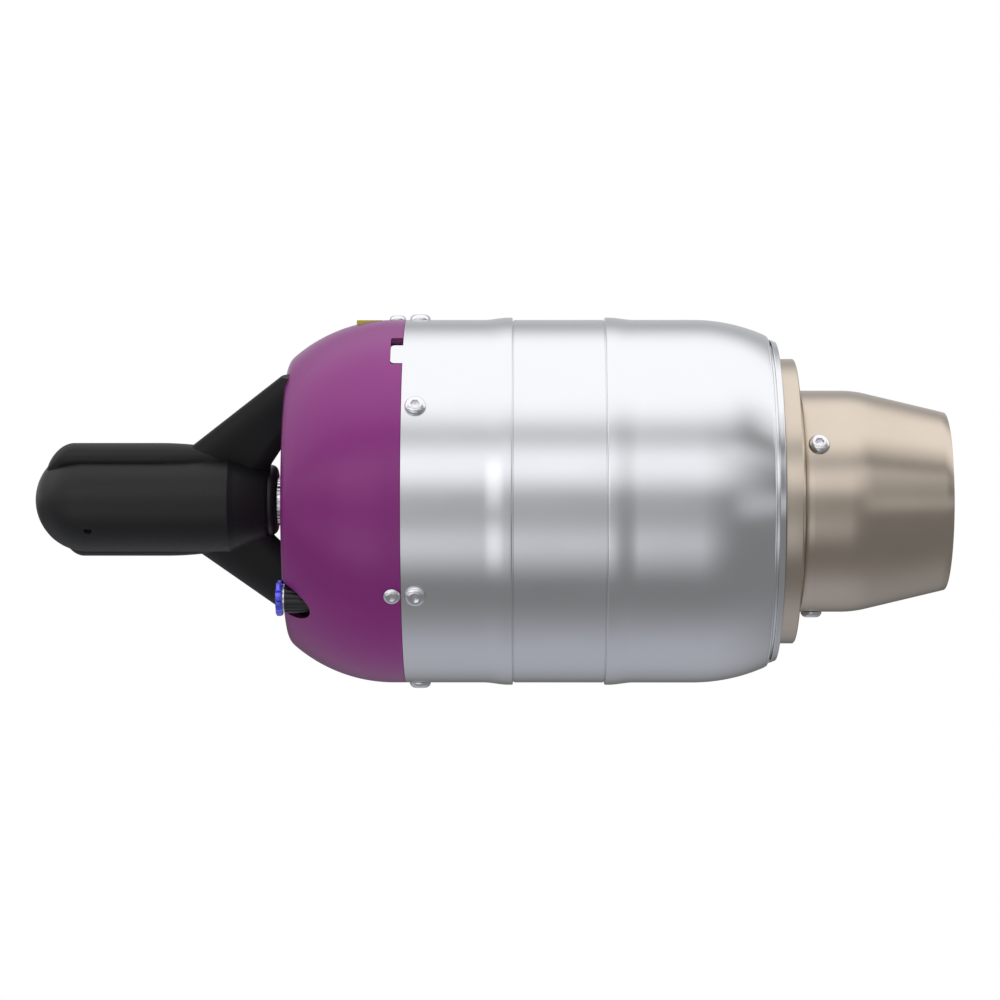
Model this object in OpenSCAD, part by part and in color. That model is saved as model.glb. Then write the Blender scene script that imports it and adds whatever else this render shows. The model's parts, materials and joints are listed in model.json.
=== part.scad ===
// Model-aircraft turbojet engine, millimetres.
// The engine axis is X with the intake at -X and the exhaust at +X, and Z is up.
// The origin is on the axis, at the middle of the strap seat round the case.
// Stations are distances along X from the origin; an angle is measured about X from straight up.

/* [Case] */
// Outside diameter of the drawn steel case
case_d = 98; // [96:0.5:102]
// Sheet thickness of the case
case_wall = 0.8; // [0.6:0.1:1.0]
// Width of the seat for the mounting strap
strap_w = 24.6; // [20:0.2:28]
// Height of the rolled shoulder on each side of the strap seat
shoulder_h = 0.6; // [0.3:0.1:0.8]
// Length over which each shoulder fades into the case
shoulder_fade = 8; // [5:0.2:10]
// Distance from the strap seat's middle to the front edge of the case
case_front = 41; // [40.5:0.1:43]
// Distance from the strap seat's middle to the rear end of the case
case_rear = 58.25; // [57.5:0.25:60]
// Radius of the long curve that closes the rear of the case
dome_r = 48; // [44:1:52]
// Radius of the tight corner at the rear of the case
dome_corner_r = 5.5; // [4.5:0.5:6.5]

/* [Intake cover] */
// Length of the intake cover from its lip to the case
cover_len = 32.4; // [31.6:0.1:34]
// Wall thickness of the intake cover
cover_wall = 1.8; // [1.4:0.1:2.0]
// Radius of the long outer curve of the cover
cover_curve_r = 41; // [39:0.5:43]
// Radius of the outer corner at the lip
lip_corner_r = 5.1; // [4.6:0.1:5.6]
// Radial distance from the case's surface in to the frontmost circle of the lip
lip_drop = 13.7; // [13:0.1:14.2]
// Radius of the intake throat
throat_r = 20.4; // [20:0.1:20.8]

/* [Starter] */
// Diameter of the starter pod
pod_d = 28; // [27:0.5:30]
// Wall thickness of the starter pod
pod_wall = 1.7; // [1.4:0.1:2.2]
// Distance from the strap seat's middle to the tip of the pod
nose_x = 141.5; // [138:0.5:146]
// Angle of the upper strut from straight up, the lower one lying opposite
strut_angle = 32; // [28:1:36]
// Greatest thickness of a strut
strut_t = 4.2; // [3.6:0.1:4.6]
// Radius of the rounded wire duct along the pod
duct_r = 3.4; // [3:0.1:3.8]
// Radius of the starter's clutch drum
drum_r = 6.6; // [6.2:0.1:6.8]
// Travel of the clutch drum towards the compressor nut
clutch_travel = 1.8; // [1:0.1:2]

/* [Rotor] */
// Radius of the compressor wheel at its rim
comp_r = 30; // [29.5:0.1:30.2]
// Number of full compressor blades, with as many splitters between them
comp_blades = 7; // [5:1:9]
// Number of turbine blades
turb_blades = 23; // [17:1:27]
// Number of guide vanes before the turbine
guide_vane_count = 15; // [11:1:19]
// Radius of the shaft in the bearings
shaft_r = 4; // [3.8:0.1:4.2]
// Bearing outside radius
bearing_r = 9.5; // [9:0.1:10]
// Bearing width
bearing_w = 6; // [5:0.5:6]
// Balls in each bearing
ball_count = 8; // [6:1:9]

/* [Combustor] */
// Radial distance from the case's surface in to the outer liner
liner_gap = 5; // [4.5:0.5:6]
// Outside radius of the inner liner
inner_liner_r = 16.5; // [15.5:0.5:17]
// Liner sheet thickness
liner_wall = 0.5; // [0.4:0.1:0.6]
// Number of vaporiser tubes
stick_count = 12; // [9:1:14]

/* [Exhaust] */
// Outside diameter of the nozzle at its flange
nozzle_d = 59.8; // [58.8:0.2:60.8]
// Outside diameter of the nozzle at its exit
exit_d = 48; // [44:0.5:52]
// Distance from the strap seat's middle to the nozzle exit
exit_x = 104.1; // [100:0.1:112]
// Sheet thickness of the nozzle
nozzle_wall = 0.8; // [0.6:0.1:1]
// Wall thickness of the turbine housing round the wheel
housing_wall = 1.25; // [1:0.05:1.5]
// Radial distance from the case's surface in to the edge of the housing's flange
flange_drop = 10.55; // [10:0.05:11.5]
// Thickness of the housing's flange
flange_t = 4.5; // [4:0.1:6]

/* [Fasteners and fittings] */
// Head diameter of the case and nozzle screws (M3 button head)
m3_head_d = 5.7; // [5.4:0.1:6]
// Head diameter of the cover screws (M2.5 button head)
m25_head_d = 4.6; // [4.4:0.1:4.8]
// Outside radius of the fuel tube that the push-in fitting takes
fuel_tube_r = 2; // [1.5:0.25:2.25]
// Travel of the release collar
collar_travel = 0.8; // [0.4:0.1:1]

/* [Hidden] */
$fn = 96;

// Clearances
seat = 0.05;            // between pieces that are fitted together and stay still
run = 0.05;             // radial running clearance of a shaft in its hole
tip_gap = 0.4;          // between blade tips and the wall round them
eps = 0.01;             // overshoot of a cut

// Case
case_r = case_d / 2;
case_in = case_r - case_wall;
case_x0 = -case_front;
dome_end_r = case_r - 8.9;                      // where the tight corner turns flat
case_hole_r = case_r - 13;
dome_x = case_rear - dome_corner_r;             // centre of the tight corner
// The long curve is tangent to the cylinder and to the tight corner.
dome_drop = case_r - dome_r;                    // radius at which the long curve's centre lies
dome_dx = sqrt(pow(dome_r - dome_corner_r, 2) - pow(dome_end_r - dome_drop, 2));
dome_x0 = dome_x - dome_dx;
dome_a = atan2(dome_dx, dome_end_r - dome_drop);    // angle of the arcs where they meet
seam_a = dome_a + 20;                           // angle of the seam before the rolled rear edge
seam_w = 0.36;
seam_turn = seam_w / dome_corner_r * 180 / PI;
seam_depth = 0.2;
tab_x0 = case_x0 - 3.2;
tab_angles = [33.4, 42.7];
notch_angles = [28.5, 43.1];

// Cover
lip_x = case_x0 - cover_len;
lip_r = case_r - lip_drop;
cover_x1 = case_x0 - seat;
bell_r = lip_r - throat_r;                      // radius of the bellmouth's curve
bell_x = lip_x + bell_r;
throat_x1 = bell_x + 1.5;
corner_x = lip_x + lip_corner_r;
curve_c = case_r - cover_curve_r;               // radius at which the long curve's centre lies
curve_dx = sqrt(pow(cover_curve_r - lip_corner_r, 2) - pow(lip_r - curve_c, 2));
curve_x = corner_x + curve_dx;
curve_a = atan2(curve_dx, lip_r - curve_c);
cover_in = case_r - cover_wall;

// Turbine housing and exhaust
nozzle_r = nozzle_d / 2;
exit_r = exit_d / 2;
housing_r = nozzle_r - nozzle_wall - seat;
housing_in = housing_r - housing_wall;
housing_x0 = case_rear - 20.35;
shoulder_x = case_rear - 1.9;                   // step of the housing that the case bears on
flange_r = case_r - flange_drop;
flange_x0 = case_rear + 0.85;
flange_x1 = flange_x0 + flange_t;
flange_edge = 0.4;                              // chamfer of its rear edge
spigot_x1 = flange_x1 + 10.4;
nozzle_x0 = flange_x1 + seat;
bend_x = spigot_x1 + 5.4;
bend_r = 29;
nozzle_a = atan2(nozzle_r - exit_r, exit_x - bend_x);
bend_t = bend_r * tan(nozzle_a / 2);
turb_r = housing_in - tip_gap;
turb_x0 = case_rear - 14.25;
turb_x1 = turb_x0 + 15;
rim_r = 18.2;                                   // turbine disc rim
guide_in = rim_r + 0.3;
guide_out = housing_in - seat;
guide_x0 = housing_x0 + 0.1;
guide_len = 10.2;
cone_r = 15;
cone_wall = 0.6;
cone_x = turb_x1 + 2.2;

// Compressor and its shroud
comp_back_x = case_x0 + 7.5;                    // hub surface at the rim
le_x = throat_x1 + 0.8;                         // blade leading edges
comp_hub_r = 5.8;
comp_rear_x = comp_back_x + 3.5;
exit_width = 3.8;                               // height of the passage at the rim
shroud_x = comp_back_x - exit_width;            // flat rear face of the shroud
rim_x1 = case_x0 + 17;                          // rear end of the diffuser's rim
shroud_wall = 2;
shroud_web = 2.5;
web_x = shroud_x - shroud_web;                  // front face of the shroud's web
shroud_rim_r = cover_in - seat - 0.1;
shroud_rim_x = case_x0 - 5.1;
rim_front_x = case_x0 + 0.1;                    // front edge of the diffuser's rim
rim_depth = 4;                                  // from the case's surface to the rim's front bore
rim_seat_r = case_r - rim_depth;
rim_in = case_r - 1.8;                          // bore of the rim round the axial passage
rim_step_x = shroud_x + 1.7;
wheel_boss_r = 6;
web_front_x = comp_back_x + 2.1;                // front face of the wall behind the wheel
web_rear_x = comp_back_x + 5.3;
diff_r0 = comp_r + 0.5;

// Shaft line
front_brg_x = case_x0 + 14;
tunnel_x1 = housing_x0 + 1.6;
rear_brg_x = tunnel_x1 - 12.5;
brg_seat_x = front_brg_x - 2.4;
shaft_mid_r = 6;
stub_r = 3;                                     // through the compressor wheel
nut_thread_r = 2.5;
ball_r = 1.5;
pitch_r = (shaft_r + bearing_r) / 2;
race_groove = ball_r + 0.08;
inner_race_r = pitch_r - 1.1;
outer_race_r = pitch_r + 1.1;
tunnel_r = bearing_r + 2;
web_bore_r = bearing_r - 2;
spring_x0 = front_brg_x + bearing_w + seat;
spring_len = 12;
spring_mid = bearing_r - 0.75;
spring_wire = 0.6;
spring_turns = 5;

// Starter
pod_r = pod_d / 2;
pod_cx = -nose_x + pod_r;                       // centre of the round nose
cone_x0 = lip_x - 15.25;                        // the pod's body ends and its tail cone begins
rim_major = 7.65;
rim_minor = 1.3;
tail_x = lip_x - 2.2;
tail_in = drum_r + 0.35;
motor_r = pod_r - pod_wall - seat;
motor_x0 = pod_cx + 2;
motor_x1 = cone_x0 - 1.5;
motor_shaft_r = 1.5;
drum_x0 = lip_x - 5.6;
drum_x1 = lip_x + 6;
drum_hub = 4;
oring_r = 0.8;
oring_x = drum_x1 - 1.2;
oring_major = 5.25;
nut_nose_x = drum_x1 + clutch_travel - 2.6;
nut_x1 = le_x - 0.6;
nut_len = nut_x1 - nut_nose_x;
strut_tip_r = lip_r + 4.1;
strut_root_r = 17.4;
strut_x0 = cone_x0 - 8.5;
strut_x1 = lip_x - 0.2;
trail_root = [tail_x - 2.6, 11];                // trailing edge, as [station, radius]
trail_tip_r = lip_r - 10.9;
trail_tip_x = bell_x - sqrt(pow(bell_r, 2) - pow(lip_r - trail_tip_r, 2)) - 0.35;
trail_tip = [trail_tip_x, trail_tip_r];
duct_x0 = pod_cx - 9;
duct_nose = 5.2;                                // length of the duct's rounded front
duct_x1 = lip_x - 33.6;                         // the duct narrows from here
duct_fade = 18;
duct_taper = 1.8;
vent_x = -nose_x + 15.2;
vent_angle = 123;

// Fasteners
m3_r = 1.5;
m3_head_h = 1.65;
m3_len = rim_depth - 0.1;
m25_r = 1.25;
m25_head_h = 1.3;
m25_len = 4.5;
nozzle_screw_len = 3.4;
case_screw_x = case_x0 + 3.65;
cover_screw_x = case_x0 - m25_head_d / 2 - 0.12;
nozzle_screw_x = flange_x1 + 4.7;
case_screw_angles = [0, 60, 120, 180, 240, 300];
cover_screw_angles = [0, 120, 240];
nozzle_screw_angles = [60, 180, 300];

// Fuel fitting
fitting_angle = 132;
fitting_c = case_r - 11;
fitting_hole_r = 5.3;
fitting_r = 3.45;
fitting_x0 = lip_x + 1.4;
tube_end_x = fitting_x0 + 14.4;                 // the pushed-in tube stops here
collar_d = 9.4;
collar_x0 = lip_x - 1.2;
collar_t = 2.1;
grab_ring_r = 2.95;
grab_ring_seat = 1.4;                           // depth of the ring's seat in the fitting's mouth
boss_r = 5.4;
boss_x0 = web_x - 13.2;
hex_len = 3;
stem_r = 2.9;
stem_x1 = boss_x0 + 9;

// Things inside the cover
bay_x0 = web_x - 22.2;                          // front ends of pump and valves
bay_r0 = comp_r - 1.4;                          // clear of the shroud's wall
bay_r1 = cover_in - 3.4;                        // clear of the cover's curve
pump_angle = 165;
pump_r = (bay_r1 - bay_r0) / 2;
pump_c = (bay_r1 + bay_r0) / 2;
pump_head_x = web_x - 10.2;
valve_r = 4.4;
valve_angles = [193, 213];
valve_c = fitting_c;
valve_x1 = web_x - 4.2;
line_x = web_x - 7.2;                           // station of the short fuel tubes
line_c = fitting_c - 1;
line_r = 1.5;
pipe_angle = 186;
pipe_c = case_r - 3;
pipe_r = 1;
board_x0 = web_x - 6.2;
board_t = 1.6;
board_r0 = comp_r - 4;
board_r1 = case_r - 6;
board_mid = (board_r0 + board_r1) / 2;
board_z0 = 12;                                  // straight lower edge of the board
post_angles = [-52, 14, 52];
post_c = board_r1 - 3.5;
post_r = 1.2;
socket_x0 = web_x - 14.5;
socket_x1 = socket_x0 + 7.1;
socket_w = 11;
socket_top = case_r - 0.3;
socket_z0 = socket_top - 7.7;
socket_gap = 0.15;
pin_pitch = 3.4;

// Combustor
liner_r = case_r - liner_gap;
liner_x0 = rim_x1 + 3;
liner_x1 = housing_x0 + 3.1;
liner_len = liner_x1 - liner_x0;
stick_c = liner_r - 6;
stick_r = 2.2;
stick_x0 = liner_x0 + 15;
igniter_angle = 146.25;
igniter_c = inner_liner_r + 7.5;
manifold_x = liner_x1 + 4;
manifold_r = 1.2;

// ---------------------------------------------------------------------------------------------
// Helpers

// Points of an arc, given as [radius, station] pairs: angle 0 points away from the axis, 90 aft.
function arc(c, r, a0, a1, n = 10) =
    [for (i = [0:n]) let (a = a0 + (a1 - a0) * i / n) [c[0] + r * cos(a), c[1] + r * sin(a)]];

function flip(v) = [for (i = [len(v) - 1:-1:0]) v[i]];

// Solid of revolution about the engine axis from [radius, station] points
module lathe(points, angle = 360) {
    rotate([0, 90, 0]) rotate_extrude(angle = angle) polygon(points);
}

module ring(r0, r1, x0, x1) {
    lathe([[r0, x0], [r1, x0], [r1, x1], [r0, x1]]);
}

// Part of a ring that starts at the top and runs the way that angles grow
module sector(r0, r1, x0, x1, angle) {
    rotate([0, 90, 0]) rotate([0, 0, 180]) rotate_extrude(angle = angle)
        polygon([[r0, x0], [r1, x0], [r1, x1], [r0, x1]]);
}

// Cylinder about an axis parallel to the engine axis
module rod(r, x0, x1) {
    translate([x0, 0, 0]) rotate([0, 90, 0]) cylinder(r = r, h = x1 - x0);
}

// Turns what is drawn at the top round the engine to an angle
module at(angle) {
    rotate([angle, 0, 0]) children();
}

module around(angles) {
    for (a = angles) at(a) children();
}

function spread(n, from = 0) = [for (i = [0:n - 1]) from + 360 * i / n];

// Radial rod at a station, from radius r0 out to r1
module radial(x, r, r0, r1) {
    translate([x, 0, r0]) cylinder(r = r, h = r1 - r0, $fn = 32);
}

// Radial cut through a wall whose surface lies at a radius
module radial_hole(x, r, at_r, depth = 6) {
    radial(x, r, at_r - depth, at_r + 2);
}

// Button-head screw pointing at the axis, its head seated at radius r_seat
module button_screw(x, r_seat, head_d, head_h, r, len) {
    translate([x, 0, r_seat]) {
        difference() {
            intersection() {
                cylinder(d = head_d, h = head_h, $fn = 48);
                translate([0, 0, head_h - head_d * 0.62]) sphere(r = head_d * 0.62, $fn = 64);
            }
            translate([0, 0, head_h * 0.4]) cylinder(r = head_d * 0.202, h = head_h, $fn = 6);
        }
        translate([0, 0, -len]) cylinder(r = r, h = len + eps, $fn = 32);
    }
}

// ---------------------------------------------------------------------------------------------
// Case

function case_line(d) = concat(
    [[case_r - d, tab_x0], [case_r - d, -strap_w / 2 - shoulder_fade]],
    [for (i = [1:6]) let (s = i / 6)
        [case_r - d + shoulder_h * (1 - cos(180 * s)) / 2,
         -strap_w / 2 - shoulder_fade * (1 - s * 0.86)]],
    [[case_r - d + shoulder_h, -strap_w / 2 - 0.15], [case_r - d, -strap_w / 2 + 0.15],
     [case_r - d, strap_w / 2 - 0.15], [case_r - d + shoulder_h, strap_w / 2 + 0.15]],
    [for (i = [6:-1:1]) let (s = i / 6)
        [case_r - d + shoulder_h * (1 - cos(180 * s)) / 2,
         strap_w / 2 + shoulder_fade * (1 - s * 0.86)]],
    [[case_r - d, strap_w / 2 + shoulder_fade]],
    arc([dome_drop, dome_x0], dome_r - d, 0, dome_a, 12),
    d == 0 ? rear_seam() : [],
    arc([dome_end_r, dome_x], dome_corner_r - d, d == 0 ? seam_a + seam_turn / 2 : dome_a, 90, 8),
    [[case_hole_r, case_rear - d]]);

// The tight corner up to the fine groove before the rolled rear edge
function rear_seam() = concat(
    arc([dome_end_r, dome_x], dome_corner_r, dome_a, seam_a - seam_turn / 2, 3),
    arc([dome_end_r, dome_x], dome_corner_r - seam_depth,
        seam_a - seam_turn / 4, seam_a + seam_turn / 4, 1));

module outer_case() {
    color("silver") difference() {
        lathe(concat(case_line(0), flip(case_line(case_wall))));
        // The front edge is cut back, apart from a tongue that sets the cover's angle
        at(tab_angles[1])
            sector(case_in - 1, case_r + 1, tab_x0 - 1, case_x0, 360 - (tab_angles[1] - tab_angles[0]));
        around(case_screw_angles) radial_hole(case_screw_x, m3_r + 0.1, case_r);
    }
}

module case_screws() {
    color("gainsboro") around(case_screw_angles)
        button_screw(case_screw_x, case_r, m3_head_d, m3_head_h, m3_r, m3_len);
}

// ---------------------------------------------------------------------------------------------
// Intake cover

function cover_line(d) = concat(
    [[case_r - d, cover_x1]],
    arc([curve_c, curve_x], cover_curve_r - d, 0, -curve_a, 14),
    arc([lip_r, corner_x], lip_corner_r - d, -curve_a, -90, 8),
    arc([lip_r, bell_x], bell_r - d, -90, -180, 14),
    [[throat_r + d, throat_x1]]);

module notch() {
    w = case_r * sin(notch_angles[1] - notch_angles[0]);
    l = cover_x1 - tab_x0 + 0.1;
    r = 0.8;
    at((notch_angles[0] + notch_angles[1]) / 2) translate([tab_x0 - 0.1, -w / 2, case_r - 6])
        linear_extrude(12) {
            translate([r, 0]) square([l + 2, w]);
            translate([0, r]) square([l + 2, w - 2 * r]);
            for (y = [r, w - r]) translate([r, y]) circle(r = r, $fn = 32);
        }
}

module intake_cover() {
    color("purple") difference() {
        lathe(concat(cover_line(0), flip(cover_line(cover_wall))));
        notch();
        at(fitting_angle) translate([0, 0, fitting_c])
            rod(fitting_hole_r, lip_x - 5, lip_x + 16);
        translate([socket_x0 - socket_gap, -socket_w / 2 - socket_gap, socket_z0 - 1])
            cube([socket_x1 - socket_x0 + 2 * socket_gap, socket_w + 2 * socket_gap, 12]);
        around(cover_screw_angles) radial_hole(cover_screw_x, m25_r + 0.1, case_r);
    }
}

module cover_screws() {
    color("gainsboro") around(cover_screw_angles)
        button_screw(cover_screw_x, case_r, m25_head_d, m25_head_h, m25_r, m25_len);
}

module power_socket() {
    color("olive") difference() {
        union() {
            translate([socket_x0, -socket_w / 2, socket_z0])
                cube([socket_x1 - socket_x0, socket_w, socket_top - socket_z0]);
            // Foot that reaches back to the control board
            translate([socket_x0 + 1, -socket_w / 2 + 1, socket_z0 - 3])
                cube([board_x0 - seat - socket_x0 - 1, socket_w - 2, 5.5]);
        }
        for (y = [-pin_pitch, 0, pin_pitch]) translate([(socket_x0 + socket_x1) / 2, y, socket_z0 + 2])
            cylinder(r = 1.1, h = 10, $fn = 32);
    }
}

// ---------------------------------------------------------------------------------------------
// Push-in fuel fitting

module fuel_fitting() {
    color("dimgray") at(fitting_angle) translate([0, 0, fitting_c]) difference() {
        union() {
            translate([fitting_x0, 0, 0]) rotate([0, 90, 0])
                linear_extrude(boss_x0 - hex_len + 1 - fitting_x0) {
                    circle(r = fitting_r - 0.3);
                    for (a = spread(16)) rotate(a)
                        translate([fitting_r - 0.45, 0]) circle(r = 0.45, $fn = 16);
                }
            rod(fitting_r + 1.4, boss_x0 - hex_len, boss_x0 - seat, $fn = 6);
            rod(stem_r, boss_x0 - 1, stem_x1);
        }
        rod(fuel_tube_r + seat, fitting_x0 - 1, tube_end_x);
        rod(1, tube_end_x - 1, stem_x1 + 1);
        rod(grab_ring_r + seat, fitting_x0 - 1, fitting_x0 + grab_ring_seat);
    }
}

module grab_ring() {
    color("silver") at(fitting_angle) translate([0, 0, fitting_c]) difference() {
        union() {
            rod(grab_ring_r, fitting_x0 + grab_ring_seat - 0.6, fitting_x0 + grab_ring_seat);
            rod(grab_ring_r - 0.25, fitting_x0 - 0.25, fitting_x0 + 1);
        }
        rod(fuel_tube_r + 0.55, fitting_x0 - 1, fitting_x0 + 3);
    }
}

module release_collar() {
    color("royalblue") at(fitting_angle) translate([0, 0, fitting_c]) difference() {
        union() {
            intersection() {
                rod(collar_d / 2, collar_x0, collar_x0 + collar_t);
                for (a = [0, 45]) rotate([a, 0, 0])
                    translate([collar_x0 - 1, -collar_d * 0.475, -collar_d * 0.475])
                        cube([collar_t + 2, collar_d * 0.95, collar_d * 0.95]);
            }
            rod(fuel_tube_r + 0.45, collar_x0 + 1, fitting_x0 + grab_ring_seat - collar_travel - 0.2);
        }
        // Recess that passes over the fitting's mouth as the collar is pushed
        ring(fuel_tube_r + 0.45, fitting_r + 0.15, collar_x0 + collar_t - collar_travel - 0.1,
            collar_x0 + collar_t + eps);
        rod(fuel_tube_r + 0.1, collar_x0 - 1, collar_x0 + 6);
    }
}

// ---------------------------------------------------------------------------------------------
// Starter

// Half of an elliptical blade section, as [distance behind the edge, half thickness] points
function edge_section(len, half) = concat(
    [for (i = [0:8]) [len * (1 - cos(90 * i / 8)), half * sin(90 * i / 8)]], [[60, half]]);

// Long prism with that section: its edge starts at [station, radius] and leans aft by an angle.
// A side of 1 puts the section behind the edge, and -1 in front of it.
module edge_prism(start, lean, side, len, half) {
    pts = edge_section(len, half);
    translate([start[0], 0, start[1]]) rotate([0, lean, 0]) translate([0, 0, -30])
        linear_extrude(80)
            polygon([for (q = concat(pts, flip([for (q = pts) [q[0], -q[1]]]))) [side * q[0], q[1]]]);
}

// Blade with a rounded leading edge and a thin trailing edge, cut flat where its foot ends
module strut() {
    lead = atan2(strut_x1 - strut_x0, strut_tip_r - strut_root_r);
    trail = atan2(trail_tip[0] - trail_root[0], trail_tip[1] - trail_root[1]);
    intersection() {
        edge_prism([strut_x0, strut_root_r], lead, 1, 6, strut_t / 2);
        edge_prism(trail_root, trail, -1, 9, strut_t * 0.6);
        translate([0, 5, 0]) rotate([90, 0, 0]) linear_extrude(10)
            polygon([[strut_x0 + 3, rim_major], [strut_x0 - 3, strut_root_r - 3],
                     [strut_x1 - 0.6, strut_tip_r], [trail_tip_x + 2, strut_tip_r],
                     [trail_tip_x + 2, trail_tip_r], trail_tip, trail_root, [trail_root[0], rim_major]]);
    }
}

// Rounded duct for the motor's wires, which fades into the strut
module duct() {
    translate([0, 0, pod_r]) lathe(concat(
        [for (i = [0:8]) [duct_r * sin(90 * i / 8), duct_x0 + duct_nose * (1 - cos(90 * i / 8))]],
        [for (i = [0:8]) let (d = duct_fade * i / 8)
            [duct_r - duct_taper * pow(d / duct_fade, 2), duct_x1 + d]],
        [[0, duct_x1 + duct_fade]]));
}

module starter_housing() {
    color("#242427") difference() {
        union() {
            lathe(concat([[0, -nose_x]], arc([0, pod_cx], pod_r, -88, 0, 14), [[pod_r, cone_x0]],
                arc([rim_major, tail_x - rim_minor], rim_minor, -15, 90, 8), [[0, tail_x]]));
            around([strut_angle, strut_angle + 180]) {
                strut();
                duct();
            }
        }
        cover_body_cut();
        rod(motor_r + seat, motor_x0, motor_x1 + seat);
        rod(tail_in, drum_x0 - 1, tail_x + 3);
        rod(4.5, motor_x1, drum_x0);
        // Vent
        at(vent_angle) radial(vent_x, 0.95, 0, pod_r + 1);
    }
}

// The cover's whole outer form, larger by the seat clearance, without its passage
module cover_body_cut() {
    s = seat;
    lathe(concat(
        [[case_r + s, cover_x1]],
        arc([curve_c, curve_x], cover_curve_r + s, 0, -curve_a, 14),
        arc([lip_r, corner_x], lip_corner_r + s, -curve_a, -90, 8),
        arc([lip_r, bell_x], bell_r + s, -90, -180, 14),
        [[throat_r - s, throat_x1]]));
}

module starter_motor() {
    color("silver") difference() {
        union() {
            rod(motor_r, motor_x0, motor_x1);
            rod(4.2, motor_x1 - eps, motor_x1 + 1.5);
        }
        rod(motor_shaft_r + run, motor_x0 + 4, motor_x1 + 3);
    }
}

module motor_shaft() {
    color("gainsboro") rod(motor_shaft_r, motor_x0 + 5, drum_x0 + drum_hub + 2.6);
}

module clutch_drum() {
    color("lightgray") difference() {
        rod(drum_r, drum_x0, drum_x1);
        rod(motor_shaft_r + run, drum_x0 - 1, drum_x1);
        rod(oring_major - 0.15, drum_x0 + drum_hub, drum_x1 + 1);
        // Groove for the rubber ring
        ring(0, oring_major + oring_r + seat, oring_x - oring_r - seat, oring_x + oring_r + seat);
        // Fine grooves along the outside
        for (a = spread(24)) at(a) translate([drum_x0 + 1.4, 0, drum_r + 0.1])
            rod(0.35, 0, drum_x1 - drum_x0, $fn = 16);
    }
}

module clutch_ring() {
    color("black") translate([oring_x, 0, 0]) rotate([0, 90, 0])
        rotate_extrude() translate([oring_major, 0]) circle(r = oring_r, $fn = 24);
}

// ---------------------------------------------------------------------------------------------
// Compressor

// Passage outlines from the inducer (u = 0) to the rim (u = 1), as [radius, station]
function hub_point(u) = [comp_r - (comp_r - comp_hub_r) * cos(90 * u),
    le_x + (comp_back_x - le_x) * sin(90 * u)];
function wall_point(u, gap = 0) = [comp_r + 0.4 - (comp_r + 0.4 - throat_r + gap) * cos(90 * u) ,
    le_x + (shroud_x + gap - le_x) * sin(90 * u)];
function blade_turn(u) = 68 * pow(1 - u, 1.9) - 14 * pow(u, 3);

// One ruled blade between hub and wall, from u0 to the rim
function blade_points(u0, n) = [for (i = [0:n]) let (
    u = u0 + (1 - u0) * i / n,
    h = hub_point(u),
    w = wall_point(u, tip_gap),
    a = blade_turn(u),
    th = 0.75 - 0.25 * u,
    tw = 0.3)
    each [
        for (s = [-1, 1]) let (b = a + s * th / h[0] * 57.3, r = h[0] - 0.6)
            [h[1] + 0.3, -r * sin(b), r * cos(b)],
        for (s = [1, -1]) let (rr = min(w[0], comp_r - 0.02), b = a + s * tw / rr * 57.3)
            [w[1], -rr * sin(b), rr * cos(b)]
    ]];

function tube_faces(n, k = 4) = concat(
    [[for (j = [k - 1:-1:0]) j]],
    [[for (j = [0:k - 1]) n * k + j]],
    [for (i = [0:n - 1], j = [0:k - 1]) let (a = i * k + j, b = i * k + (j + 1) % k)
        each [[a, b, a + k], [b, b + k, a + k]]]);

module compressor_blade(u0, n) {
    polyhedron(blade_points(u0, n), tube_faces(n));
}

module compressor_wheel() {
    color("lightsteelblue") difference() {
        union() {
            lathe(concat([[0, le_x]], [for (i = [0:14]) hub_point(i / 14)],
                [[comp_r, comp_back_x + 1], [comp_r * 0.6, comp_back_x + 1.5],
                 [wheel_boss_r, comp_back_x + 1.5], [wheel_boss_r, comp_rear_x], [0, comp_rear_x]]));
            for (a = spread(comp_blades)) at(a) compressor_blade(0.02, 8);
            for (a = spread(comp_blades, 180 / comp_blades)) at(a) compressor_blade(0.34, 6);
        }
        rod(stub_r + seat / 2, le_x - 1, comp_rear_x + 1);
    }
}

module compressor_nut() {
    color("silver") difference() {
        lathe([[0, nut_nose_x], [3.2, nut_nose_x], [4, nut_nose_x + 0.8],
               [comp_hub_r - 0.35, nut_nose_x + nut_len * 0.54],
               [comp_hub_r - 0.1, nut_x1 - nut_len * 0.18],
               [comp_hub_r - 0.1, le_x - 0.02], [0, le_x - 0.02]]);
        rod(nut_thread_r + seat / 2, nut_nose_x + 3, le_x + 1);
    }
}

module compressor_shroud() {
    color("silver") difference() {
        union() {
            lathe(concat(
                [[throat_r, throat_x1 + seat], [throat_r, le_x]],
                [for (i = [1:12]) wall_point(i / 12)],
                [[rim_seat_r - seat, shroud_x], [rim_seat_r - seat, rim_front_x - seat],
                 [shroud_rim_r, rim_front_x - seat], [shroud_rim_r, shroud_rim_x],
                 [shroud_rim_r - 3, shroud_rim_x], [shroud_rim_r - 3, web_x]],
                flip([for (i = [2:12]) let (p = wall_point(i / 12), a = 90 * i / 12)
                    [p[0] + shroud_wall * cos(a), min(web_x, p[1] - shroud_wall * sin(a))]]),
                [[throat_r + shroud_wall, throat_x1 + seat]]));
            at(fitting_angle) translate([0, 0, fitting_c]) rod(boss_r, boss_x0, web_x + 1);
        }
        around(cover_screw_angles) radial_hole(cover_screw_x, m25_r + seat / 2, case_r, 9);
        at(pipe_angle) translate([0, 0, pipe_c]) rod(pipe_r + seat, shroud_rim_x - 1, shroud_x + 1);
        at(fitting_angle) translate([0, 0, fitting_c]) rod(stem_r + seat, boss_x0 - 1, stem_x1 + 0.5);
    }
}

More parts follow.
